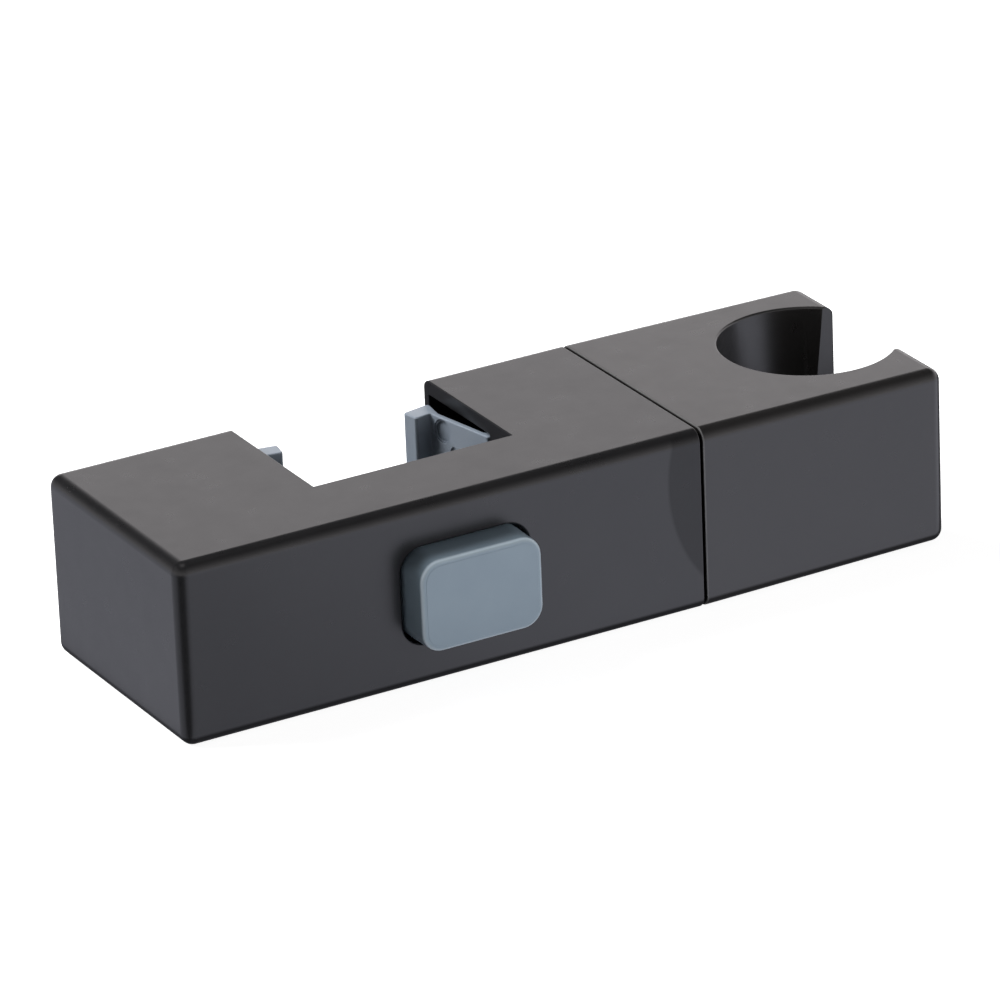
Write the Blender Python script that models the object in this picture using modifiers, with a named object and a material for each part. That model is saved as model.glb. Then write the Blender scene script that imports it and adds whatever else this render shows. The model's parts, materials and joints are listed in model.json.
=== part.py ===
"""Shower rail slider.

A clamp grips an upright rail in its notch with two hooked jaws. Pressing the button opens the
jaws. A head on the clamp's end swivels under friction and holds the hand shower in a conical
cradle. Everything is in metres with +Z up, +X from the clamp to the cradle and -Y the button's
side. The origin is the bottom centre of the whole object's box.
"""

import math

import bmesh
import bpy
from mathutils import Matrix, Vector

MM = 0.001

# Clamp, outer form
HEIGHT = 26.0 * MM
LEFT_ARM = 27.3 * MM
NOTCH_WIDTH = 30.05 * MM
RIGHT_ARM = 21.25 * MM
FRONT_BLOCK = 13.3 * MM
NOTCH_DEPTH = 24.3 * MM
EDGE_RADIUS = 1.8 * MM
SEAM_GAP = 0.4 * MM
SEAM_CHAMFER = 0.25 * MM

# Clamp, walls and windows
TOP_WALL = 2.1 * MM
REAR_WALL = 1.4 * MM
FRONT_WALL = 2.0 * MM
SIDE_WALL = 2.0 * MM
SEAM_WALL = 3.1 * MM
CAVITY_CORNER = 1.0 * MM
WINDOW_REACH = 18.1 * MM
COVER_THICKNESS = 2.0 * MM
RIB_WALL = 1.2 * MM
RIB_DEPTH = 4.5 * MM
RIB_SPACING = 5.0 * MM

# Clearances
FIT = 0.3 * MM
JAW_END_GAP = 0.5 * MM
OVERCUT = 1.0 * MM
SINK = 0.4 * MM
NEAR = 0.04 * MM

# Button
BUTTON_WIDTH = 18.5 * MM
BUTTON_HEIGHT = 13.3 * MM
BUTTON_CORNER = 3.1 * MM
BUTTON_PROUD = 4.4 * MM
BUTTON_WALL = 1.5 * MM
BUTTON_EDGE = 0.7 * MM
BUTTON_TAPER = 0.15 * MM
BUTTON_SIDE_GAP = 0.5 * MM
BUTTON_END_GAP = 0.3 * MM
BUTTON_STROKE = 3.0 * MM
LIP_THICKNESS = 0.9 * MM
LIP_WIDTH = 12.0 * MM
LIP_REACH = 1.3 * MM
POST_OFFSET = 4.0 * MM
POST_REACH = 1.2 * MM
POST_RADIUS = 1.3 * MM
POST_HEIGHT = 9.0 * MM

# Jaws
PIVOT_INSET = 4.5 * MM
PIN_RADIUS = 1.5 * MM
PIN_SKIN = 1.3 * MM
PIN_CHAMFER = 0.3 * MM
PIN_BOSS_WALL = 1.2 * MM
PIN_BOSS_HEIGHT = 2.6 * MM
JAW_BOSS_WALL = 1.4 * MM
PLATE_ANGLE = math.radians(11.1)
PLATE_WALL = 0.8 * MM
PLATE_PROUD = 0.1 * MM
HOOK_SETBACK = 6.1 * MM
HOOK_REACH = 2.5 * MM
HOOK_THICKNESS = 2.8 * MM
HOOK_CORNER = 0.45 * MM
HOOK_FLARE = 2.0 * MM
SHOULDER_WALL = 1.5 * MM
ARM_WALL = 2.6 * MM
ARM_CLEARANCE = 1.2 * MM
WEB_HEIGHT = 2.4 * MM
LEVER_THICKNESS = 2.4 * MM
LEVER_HEIGHT = 10.0 * MM
LEVER_OVERHANG = 1.4 * MM
LEVER_FLAT = 0.3 * MM
PIVOT_SETBACK = 1.8 * MM
MARK_RADIUS = 1.5 * MM
MARK_RIM = 1.75 * MM
MARK_DEPTH = 0.4 * MM
MARK_STEP = 0.12 * MM
MARK_ALONG = 2.5 * MM
MARK_DROP = 1.95 * MM
GATE_RADIUS = 0.7 * MM
GATE_ALONG = 4.7 * MM
GATE_DROP = 4.3 * MM

# Jaw springs
SPRING_REACH = 9.0 * MM
SPRING_RADIUS = 2.0 * MM
SPRING_WIRE = 0.3 * MM
SPRING_TURNS = 3
STUD_RADIUS = 1.3 * MM
WALL_STUD = 0.8 * MM

# Cover screws
SCREW_INSET = 4.2 * MM
SCREW_HEAD_RADIUS = 2.6 * MM
SCREW_RADIUS = 1.25 * MM
SCREW_LENGTH = 10.0 * MM
SCREW_POINT = 1.2 * MM
SCREW_POINT_RADIUS = 0.5 * MM
SCREW_SINK = 0.15 * MM
SCREW_HEAD_HEIGHT = 1.4 * MM
SCREW_BOSS_WALL = 1.7 * MM
RECESS_WIDTH = 0.6 * MM
RECESS_REACH = 1.5 * MM
RECESS_DEPTH = 0.7 * MM

# Swivel
SPINDLE_RADIUS = 4.6 * MM
BUSH_WALL = 1.3 * MM
BUSH_FLANGE = 1.4 * MM
BUSH_FLANGE_THICKNESS = 1.0 * MM
FRICTION_WASHER_THICKNESS = 1.0 * MM
FRICTION_WASHER_RADIUS = 9.5 * MM
SWIVEL_SPRING_WIRE = 0.5 * MM
SWIVEL_SPRING_LENGTH = 3.6 * MM
SWIVEL_SPRING_TURNS = 2.5
SWIVEL_WASHER_THICKNESS = 1.0 * MM
SWIVEL_WASHER_RADIUS = 6.8 * MM
SWIVEL_SCREW_RADIUS = 1.9 * MM
SWIVEL_SCREW_HEAD_RADIUS = 3.6 * MM
SWIVEL_SCREW_HEAD = 2.2 * MM
SWIVEL_SCREW_DOME = 1.1 * MM
SWIVEL_SCREW_CHAMFER = 0.8 * MM
SWIVEL_RECESS_WIDTH = 0.9 * MM
SWIVEL_RECESS_REACH = 2.0 * MM
SWIVEL_RECESS_DEPTH = 1.1 * MM
SWIVEL_SCREW_GRIP = 8.0 * MM

# Head
HEAD_LENGTH = 38.2 * MM
HEAD_DRAFT_Z = 0.3 * MM
HEAD_DRAFT_Y = 0.2 * MM
HEAD_WALL = 2.3 * MM
CRADLE_SETBACK = 10.0 * MM
CRADLE_OFFSET = 0.5 * MM
CRADLE_RADIUS = 12.3 * MM
CRADLE_TAPER = math.radians(4.0)
CRADLE_WALL = 2.2 * MM
SLOT_WIDTH = 18.2 * MM
HEAD_RIB_OFFSET = 8.6 * MM

# Steps of the round forms
EDGE_STEPS = 6
CORNER_STEPS = 4
ROUND_STEPS = 32
SMALL_STEPS = 24
STUD_STEPS = 20
DOME_STEPS = 3
SMOOTH_ANGLE = math.radians(35)
CRADLE_STEPS = 64
COIL_STEPS = 14
SWIVEL_COIL_STEPS = 20

# Places that follow from the sizes
CLAMP_LENGTH = LEFT_ARM + NOTCH_WIDTH + RIGHT_ARM
DEPTH = FRONT_BLOCK + NOTCH_DEPTH
X_LEFT = -(CLAMP_LENGTH + SEAM_GAP + HEAD_LENGTH) / 2
X_NOTCH_LEFT = X_LEFT + LEFT_ARM
X_NOTCH_RIGHT = X_NOTCH_LEFT + NOTCH_WIDTH
X_MID = (X_NOTCH_LEFT + X_NOTCH_RIGHT) / 2
X_CLAMP_END = X_LEFT + CLAMP_LENGTH
X_HEAD = X_CLAMP_END + SEAM_GAP
X_RIGHT = X_HEAD + HEAD_LENGTH
Y_FRONT = -(DEPTH - BUTTON_PROUD) / 2
Y_BACK = Y_FRONT + DEPTH
Y_MID = Y_FRONT + DEPTH / 2
Y_NOTCH = Y_BACK - NOTCH_DEPTH
Z_MID = HEIGHT / 2
Z_CEILING = HEIGHT - TOP_WALL

Y_FRONT_INSIDE = Y_FRONT + FRONT_WALL
Y_LIP = Y_FRONT_INSIDE + FIT
Y_SKIRT = Y_LIP + LIP_THICKNESS
Y_POST = Y_SKIRT + POST_REACH
Y_LEVER = Y_POST + FIT
Y_CHANNEL_END = Y_NOTCH - FRONT_WALL
Y_PIVOT = Y_LEVER + PIVOT_SETBACK
Y_LEVER_REAR = Y_LEVER + LEVER_THICKNESS
Y_WINDOW = Y_BACK - WINDOW_REACH
LEVER_REACH = NOTCH_WIDTH / 2 + PIVOT_INSET - POST_OFFSET
SPRING_TRAVEL = BUTTON_STROKE * SPRING_REACH / LEVER_REACH
LEVER_STUD = Y_CHANNEL_END - Y_LEVER_REAR - WALL_STUD - SPRING_TRAVEL - 2 * FIT

PIN_HOLE = PIN_RADIUS + FIT
PIN_BOSS_RADIUS = PIN_HOLE + PIN_BOSS_WALL
JAW_BOSS_RADIUS = PIN_HOLE + JAW_BOSS_WALL
Z_JAW_LOW = COVER_THICKNESS + JAW_END_GAP
Z_JAW_HIGH = Z_CEILING - JAW_END_GAP
Z_BOSS_LOW = COVER_THICKNESS + PIN_BOSS_HEIGHT + FIT
Z_BOSS_HIGH = Z_CEILING - PIN_BOSS_HEIGHT - FIT

SPINDLE_HOLE = SPINDLE_RADIUS + FIT
BUSH_RADIUS = SPINDLE_HOLE + BUSH_WALL
BUSH_HOLE = BUSH_RADIUS + FIT
X_WALL_INSIDE = X_CLAMP_END - SEAM_WALL
X_COUNTERBORE = X_HEAD - FIT - FRICTION_WASHER_THICKNESS - FIT
X_BUSH_SEAT = X_WALL_INSIDE - FIT
X_BUSH_LEFT = X_BUSH_SEAT - BUSH_FLANGE_THICKNESS
X_SPRING_RIGHT = X_BUSH_LEFT - FIT
X_SPRING_LEFT = X_SPRING_RIGHT - SWIVEL_SPRING_LENGTH
X_WASHER_RIGHT = X_SPRING_LEFT - FIT
X_WASHER_LEFT = X_WASHER_RIGHT - SWIVEL_WASHER_THICKNESS
X_SPINDLE_END = X_WASHER_RIGHT + FIT
X_SCREW_SEAT = X_WASHER_LEFT - FIT
X_SCREW_TIP = X_HEAD + SWIVEL_SCREW_GRIP
SWIVEL_SCREW_HOLE = SWIVEL_SCREW_RADIUS + FIT
SCREW_BOSS_RADIUS = SWIVEL_SCREW_HOLE + HEAD_WALL

X_CRADLE = X_RIGHT - CRADLE_SETBACK
Y_CRADLE = Y_MID + CRADLE_OFFSET

PARTS = "shower_rail_slider"
CUTTERS = "cutters"


# Scene and materials

def clear_scene():
    for obj in list(bpy.data.objects):
        bpy.data.objects.remove(obj, do_unlink=True)
    for name in (PARTS, CUTTERS):
        collection = bpy.data.collections.new(name)
        bpy.context.scene.collection.children.link(collection)


def material(name, colour, roughness, metallic=0.0):
    made = bpy.data.materials.new(name)
    made.use_nodes = True
    shader = made.node_tree.nodes["Principled BSDF"]
    shader.inputs["Base Color"].default_value = (*colour, 1.0)
    shader.inputs["Roughness"].default_value = roughness
    shader.inputs["Metallic"].default_value = metallic
    made.diffuse_color = (*colour, 1.0)
    return made


# Basic shapes

def place(name, mesh, collection):
    obj = bpy.data.objects.new(name, mesh)
    bpy.data.collections[collection].objects.link(obj)
    if collection == CUTTERS:
        obj.hide_render = True
        obj.display_type = "WIRE"
    return obj


def finish_mesh(name, shape, collection):
    mesh = bpy.data.meshes.new(name)
    shape.to_mesh(mesh)
    shape.free()
    return place(name, mesh, collection)


def block_shape(low, high):
    low = Vector(low)
    high = Vector(high)
    shape = bmesh.new()
    bmesh.ops.create_cube(shape, size=1.0)
    size = Matrix.Diagonal((*(high - low), 1.0))
    bmesh.ops.transform(shape, matrix=Matrix.Translation((low + high) / 2) @ size, verts=shape.verts)
    return shape


def block(name, low, high, collection=CUTTERS):
    return finish_mesh(name, block_shape(low, high), collection)


def bar(name, radius, start, end, end_radius=None, steps=ROUND_STEPS, collection=CUTTERS):
    """A round bar, or a cone, between two points."""
    start = Vector(start)
    end = Vector(end)
    if end_radius is None:
        end_radius = radius
    along = end - start
    turn = along.to_track_quat("Z", "Y").to_matrix().to_4x4()
    shape = bmesh.new()
    bmesh.ops.create_cone(
        shape,
        cap_ends=True,
        segments=steps,
        radius1=radius,
        radius2=end_radius,
        depth=along.length,
    )
    bmesh.ops.transform(shape, matrix=Matrix.Translation((start + end) / 2) @ turn, verts=shape.verts)
    return finish_mesh(name, shape, collection)


def mesh_of_curve(name, curve, matrix, collection):
    """The curve as a closed mesh of triangles, with its caps joined to its sides."""
    guide = place(name + "_guide", curve, PARTS)
    guide.matrix_world = matrix
    bpy.context.view_layer.update()
    graph = bpy.context.evaluated_depsgraph_get()
    mesh = bpy.data.meshes.new_from_object(guide.evaluated_get(graph))
    bpy.data.objects.remove(guide, do_unlink=True)
    shape = bmesh.new()
    shape.from_mesh(mesh)
    bpy.data.meshes.remove(mesh)
    bmesh.ops.remove_doubles(shape, verts=shape.verts, dist=0.002 * MM)
    bmesh.ops.recalc_face_normals(shape, faces=shape.faces)
    bmesh.ops.triangulate(shape, faces=shape.faces)
    obj = finish_mesh(name, shape, collection)
    obj.matrix_world = matrix
    return obj


def outline(name, points, low, high, turn=Matrix(), collection=CUTTERS):
    """A flat outline, filled and extruded from low to high along Z, then turned."""
    curve = bpy.data.curves.new(name, "CURVE")
    curve.dimensions = "2D"
    curve.fill_mode = "BOTH"
    curve.extrude = (high - low) / 2
    spline = curve.splines.new("POLY")
    spline.points.add(len(points) - 1)
    for point, (x, y) in zip(spline.points, points):
        point.co = (x, y, 0.0, 1.0)
    spline.use_cyclic_u = True
    obj = mesh_of_curve(name, curve, Matrix(), collection)
    obj.data.transform(turn @ Matrix.Translation((0.0, 0.0, (low + high) / 2)))
    return obj


def coil(name, radius, wire, turns, start, end, steps=COIL_STEPS):
    """A compression coil between two points, which are the outer faces of its end turns."""
    start = Vector(start)
    end = Vector(end)
    along = end - start
    rise = along.length - 2 * wire
    curve = bpy.data.curves.new(name, "CURVE")
    curve.dimensions = "3D"
    curve.bevel_depth = wire
    curve.bevel_resolution = 2
    curve.use_fill_caps = True
    count = round(turns * steps) + 1
    spline = curve.splines.new("POLY")
    spline.points.add(count - 1)
    for index, point in enumerate(spline.points):
        share = index / (count - 1)
        angle = 2 * math.pi * turns * share
        height = wire + rise * share
        point.co = (radius * math.cos(angle), radius * math.sin(angle), height, 1.0)
    turn = along.to_track_quat("Z", "Y").to_matrix().to_4x4()
    return mesh_of_curve(name, curve, Matrix.Translation(start) @ turn, PARTS)


def turned(name, profile, turn, steps=ROUND_STEPS, collection=PARTS):
    """A turned shape: the profile's points are (radius, height), down the outer side first."""
    shape = bmesh.new()
    points = [shape.verts.new((radius, 0.0, height)) for radius, height in profile]
    for first, second in zip(points, points[1:]):
        shape.edges.new((first, second))
    if profile[0][0] > 0.0:
        shape.edges.new((points[-1], points[0]))
    obj = finish_mesh(name, shape, collection)
    obj.matrix_world = turn
    screw = obj.modifiers.new("turn", "SCREW")
    screw.steps = steps
    screw.render_steps = steps
    screw.use_merge_vertices = True
    screw.merge_threshold = 0.002 * MM
    return obj


# Outlines

def arc(centre, radius, start, end, steps):
    """Points of an arc between two angles, both ends included."""
    angles = [start + (end - start) * step / steps for step in range(steps + 1)]
    return [(centre[0] + radius * math.cos(a), centre[1] + radius * math.sin(a)) for a in angles]


def rounded(corners, steps=CORNER_STEPS):
    """A closed outline from (x, y, radius) corners, each rounded to its own radius."""
    result = []
    for index, (x, y, radius) in enumerate(corners):
        corner = Vector((x, y))
        if radius == 0.0:
            result.append((x, y))
            continue
        before = (Vector(corners[index - 1][:2]) - corner).normalized()
        after = (Vector(corners[(index + 1) % len(corners)][:2]) - corner).normalized()
        half = before.angle(after) / 2
        centre = corner + (before + after).normalized() * radius / math.sin(half)
        first = corner + before * radius / math.tan(half) - centre
        last = corner + after * radius / math.tan(half) - centre
        start = math.atan2(first.y, first.x)
        sweep = math.atan2(first.x * last.y - first.y * last.x, first.dot(last))
        result += arc(centre, radius, start, start + sweep, steps)
    return result


def rectangle(low, high, radius):
    """A rectangle with rounded corners."""
    corners = ((low[0], low[1]), (high[0], low[1]), (high[0], high[1]), (low[0], high[1]))
    return rounded([(x, y, radius) for x, y in corners])


def clamp_outline(inset):
    """The U of the clamp's cavity, drawn in by an inset."""
    left = X_LEFT + SIDE_WALL + inset
    right = X_WALL_INSIDE - inset
    front = Y_FRONT_INSIDE + inset
    back = Y_BACK - REAR_WALL - inset
    notch_left = X_NOTCH_LEFT - SIDE_WALL - inset
    notch_right = X_NOTCH_RIGHT + SIDE_WALL + inset
    notch_front = Y_CHANNEL_END - inset
    corners = (
        (left, front),
        (right, front),
        (right, back),
        (notch_right, back),
        (notch_right, notch_front),
        (notch_left, notch_front),
        (notch_left, back),
        (left, back),
    )
    return rounded([(x, y, CAVITY_CORNER) for x, y in corners])


# Joining, cutting and finishing

def boolean(obj, other, operation, solver):
    modifier = obj.modifiers.new(other.name, "BOOLEAN")
    modifier.operation = operation
    modifier.solver = solver
    modifier.object = other


def cut(obj, *others, solver="EXACT"):
    for other in others:
        boolean(obj, other, "DIFFERENCE", solver)


def join(obj, *others, solver="EXACT"):
    for other in others:
        boolean(obj, other, "UNION", solver)


def finish(obj, look, origin=None):
    """Gives a part its material, smooth shading and its origin."""
    obj.data.materials.append(look)
    obj.data.shade_smooth()
    obj.data.set_sharp_from_angle(angle=SMOOTH_ANGLE)
    if origin is not None:
        obj.data.transform(Matrix.Translation(-Vector(origin)))
        obj.location = origin
    return obj


def axis_empty(name, place_at):
    empty = bpy.data.objects.new(name, None)
    empty.location = place_at
    bpy.data.collections[PARTS].objects.link(empty)
    bpy.context.view_layer.update()
    return empty


def along_x(x):
    """Turns a shape drawn along Z to run along X on the swivel's axis, from x."""
    return Matrix.Translation((x, Y_MID, Z_MID)) @ Matrix.Rotation(math.radians(90), 4, "Y")


def along_y(z):
    """Turns a shape drawn in X and Z with its height along -Y, for the button and its hole."""
    return Matrix.Translation((0.0, 0.0, z)) @ Matrix.Rotation(math.radians(90), 4, "X")


# Clamp

def rounded_block(low, high, end, shrink_y=0.0, shrink_z=0.0):
    """A block with every edge rounded but those of its end at the seam, which have a chamfer.

    The other end is drawn in by the two shrinks, as draft.
    """
    shape = block_shape(low, high)
    mid_y = (low[1] + high[1]) / 2
    mid_z = (low[2] + high[2]) / 2
    for vert in shape.verts:
        if abs(vert.co.x - end) > SINK:
            vert.co.y -= math.copysign(shrink_y, vert.co.y - mid_y)
            vert.co.z -= math.copysign(shrink_z, vert.co.z - mid_z)

    def at_seam(edge):
        return all(abs(vert.co.x - end) < NEAR for vert in edge.verts)

    outer = [edge for edge in shape.edges if not at_seam(edge)]
    bmesh.ops.bevel(
        shape,
        geom=outer,
        offset=EDGE_RADIUS,
        offset_type="OFFSET",
        segments=EDGE_STEPS,
        profile=0.5,
        affect="EDGES",
        clamp_overlap=True,
    )
    seam = [edge for edge in shape.edges if at_seam(edge)]
    bmesh.ops.bevel(
        shape,
        geom=seam,
        offset=SEAM_CHAMFER,
        offset_type="OFFSET",
        segments=1,
        affect="EDGES",
        clamp_overlap=True,
    )
    bmesh.ops.triangulate(shape, faces=shape.faces)
    return shape


def screw_places():
    """Where the cover's screws stand, with the way to the nearest walls."""
    left = X_LEFT + SIDE_WALL + SCREW_INSET
    right = X_WALL_INSIDE - SCREW_INSET
    front = Y_FRONT_INSIDE + SCREW_INSET
    back = Y_BACK - REAR_WALL - SCREW_INSET
    return [(left, front, -1, -1), (right, front, 1, -1), (right, back, 1, 1), (left, back, -1, 1)]


def pivot_x(side):
    return X_MID + side * (NOTCH_WIDTH / 2 + PIVOT_INSET)


def spring_x(side):
    return pivot_x(side) - side * SPRING_REACH


def make_housing(look):
    shape = rounded_block((X_LEFT, Y_FRONT, 0.0), (X_CLAMP_END, Y_BACK, HEIGHT), X_CLAMP_END)
    housing = finish_mesh("housing", shape, PARTS)
    notch = block(
        "notch_cut",
        (X_NOTCH_LEFT, Y_NOTCH, -OVERCUT),
        (X_NOTCH_RIGHT, Y_BACK + OVERCUT, HEIGHT + OVERCUT),
    )
    cavity = outline("cavity_cut", clamp_outline(0.0), -OVERCUT, Z_CEILING)
    cut(housing, notch, cavity)
    for side, edge in ((-1, X_NOTCH_LEFT), (1, X_NOTCH_RIGHT)):
        outside = edge - side * OVERCUT
        inside = edge + side * (SIDE_WALL + OVERCUT)
        window = block(
            "window_cut",
            (min(outside, inside), Y_WINDOW, COVER_THICKNESS),
            (max(outside, inside), Y_BACK - REAR_WALL, Z_CEILING),
        )
        cut(housing, window)
    cut(housing, *button_hole(), *swivel_hole())
    join(housing, *housing_bosses(), *housing_ribs())
    cut(housing, *housing_bores())
    return finish(housing, look)


def button_hole():
    half_width = BUTTON_WIDTH / 2 + BUTTON_SIDE_GAP
    half_height = BUTTON_HEIGHT / 2 + BUTTON_END_GAP
    points = rectangle(
        (X_MID - half_width, -half_height),
        (X_MID + half_width, half_height),
        BUTTON_CORNER + BUTTON_END_GAP,
    )
    low = -(Y_FRONT_INSIDE + OVERCUT)
    high = -(Y_FRONT - OVERCUT)
    return [outline("button_hole_cut", points, low, high, along_y(Z_MID))]


def swivel_hole():
    start = (X_WALL_INSIDE - OVERCUT, Y_MID, Z_MID)
    end = (X_CLAMP_END + OVERCUT, Y_MID, Z_MID)
    seat = (X_COUNTERBORE, Y_MID, Z_MID)
    return [
        bar("swivel_hole_cut", BUSH_HOLE, start, end),
        bar("counterbore_cut", FRICTION_WASHER_RADIUS + FIT, seat, end),
    ]


def housing_bosses():
    """Columns for the cover's screws, seats for the pins and studs for the springs."""
    made = []
    screw_hole = SCREW_RADIUS + FIT
    for x, y, side_x, side_y in screw_places():
        low = COVER_THICKNESS + FIT
        radius = screw_hole + SCREW_BOSS_WALL
        made.append(bar("screw_boss", radius, (x, y, low), (x, y, Z_CEILING + SINK), steps=SMALL_STEPS))
        reach = SCREW_INSET + SINK
        half = RIB_WALL / 2
        made.append(
            block(
                "screw_rib_x",
                (min(x, x + side_x * reach), y - half, low + RIB_WALL),
                (max(x, x + side_x * reach), y + half, Z_CEILING + SINK),
            )
        )
        made.append(
            block(
                "screw_rib_y",
                (x - half, min(y, y + side_y * reach), low + RIB_WALL),
                (x + half, max(y, y + side_y * reach), Z_CEILING + SINK),
            )
        )
    for side in (-1, 1):
        x = pivot_x(side)
        low = Z_CEILING - PIN_BOSS_HEIGHT
        made.append(bar("pin_boss", PIN_BOSS_RADIUS, (x, Y_PIVOT, low), (x, Y_PIVOT, Z_CEILING + SINK)))
        x = spring_x(side)
        tip = (x, Y_CHANNEL_END - WALL_STUD, Z_MID)
        foot = (x, Y_CHANNEL_END + SINK, Z_MID)
        made.append(bar("spring_stud", STUD_RADIUS, tip, foot, steps=STUD_STEPS))
    return made


def housing_ribs():
    """Ribs under the top wall: across the left arm, and over the swivel."""
    low = Z_CEILING - RIB_DEPTH
    high = Z_CEILING + SINK
    made = []
    for step in (2, 3):
        x = X_LEFT + step * RIB_SPACING
        front = Y_FRONT_INSIDE - SINK
        back = Y_BACK - REAR_WALL + SINK
        made.append(block("arm_rib", (x, front, low), (x + RIB_WALL, back, high)))
    clear = Z_MID + max(SWIVEL_WASHER_RADIUS, BUSH_RADIUS + BUSH_FLANGE) + 2 * FIT
    for side in (-1, 1):
        y = Y_MID + side * RIB_SPACING
        made.append(
            block(
                "swivel_rib",
                (X_WASHER_LEFT, y - RIB_WALL / 2, clear),
                (X_WALL_INSIDE + SINK, y + RIB_WALL / 2, high),
            )
        )
    return made


def housing_bores():
    """Blind holes for the cover's screws and for the upper ends of the pins."""
    made = []
    for x, y, _, _ in screw_places():
        top = SCREW_SINK + SCREW_LENGTH + 2 * FIT
        made.append(bar("screw_bore", SCREW_RADIUS + FIT, (x, y, 0.0), (x, y, top), steps=STUD_STEPS))
    for side in (-1, 1):
        x = pivot_x(side)
        mouth = (x, Y_PIVOT, Z_CEILING - PIN_BOSS_HEIGHT - OVERCUT)
        end = (x, Y_PIVOT, HEIGHT - PIN_SKIN)
        made.append(bar("pin_bore", PIN_HOLE, mouth, end, steps=SMALL_STEPS))
    return made


def make_cover(look):
    """The plate that closes the clamp from below, flush with its walls."""
    cover = outline("bottom_cover", clamp_outline(FIT), 0.0, COVER_THICKNESS, collection=PARTS)
    top = COVER_THICKNESS + PIN_BOSS_HEIGHT
    for side in (-1, 1):
        x = pivot_x(side)
        boss = bar("cover_boss", PIN_BOSS_RADIUS, (x, Y_PIVOT, COVER_THICKNESS - SINK), (x, Y_PIVOT, top))
        join(cover, boss)
        mouth = (x, Y_PIVOT, top + OVERCUT)
        cut(cover, bar("cover_bore", PIN_HOLE, (x, Y_PIVOT, PIN_SKIN), mouth, steps=SMALL_STEPS))
    seat = SCREW_SINK + SCREW_HEAD_HEIGHT
    for x, y, _, _ in screw_places():
        wide = SCREW_HEAD_RADIUS + FIT
        narrow = SCREW_RADIUS + FIT
        slope = (wide - narrow) / SCREW_HEAD_HEIGHT
        mouth = wide + slope * OVERCUT
        cone = bar(
            "countersink",
            mouth,
            (x, y, SCREW_SINK - OVERCUT),
            (x, y, seat),
            end_radius=narrow,
            steps=SMALL_STEPS,
        )
        start = (x, y, seat - SINK)
        end = (x, y, COVER_THICKNESS + OVERCUT)
        cut(cover, cone, bar("cover_hole", narrow, start, end, steps=SMALL_STEPS))
    return finish(cover, look)


def cross_recess(name, turn, width, reach, depth):
    """A cross-shaped cutter at the start of a screw drawn along Z."""
    half = width / 2
    corners = []
    for quarter in range(4):
        spin = Matrix.Rotation(math.radians(90 * quarter), 2)
        for x, y in ((reach, -half), (reach, half), (half, half)):
            point = spin @ Vector((x, y))
            corners.append((point.x, point.y))
    cutter = outline(name, corners, -OVERCUT, depth)
    cutter.matrix_world = turn
    return cutter


def make_cover_screws(look):
    for number, (x, y, _, _) in enumerate(screw_places(), start=1):
        tip = SCREW_SINK + SCREW_LENGTH
        profile = (
            (0.0, tip),
            (SCREW_POINT_RADIUS, tip),
            (SCREW_RADIUS, tip - SCREW_POINT),
            (SCREW_RADIUS, SCREW_SINK + SCREW_HEAD_HEIGHT),
            (SCREW_HEAD_RADIUS, SCREW_SINK),
            (0.0, SCREW_SINK),
        )
        turn = Matrix.Translation((x, y, 0.0))
        screw = turned(f"cover_screw_{number}", profile, turn, steps=SMALL_STEPS)
        depth = SCREW_SINK + RECESS_DEPTH
        cutter = cross_recess("cross_cut", turn, RECESS_WIDTH, RECESS_REACH, depth)
        cut(screw, cutter)
        finish(screw, look)


# Button

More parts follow.
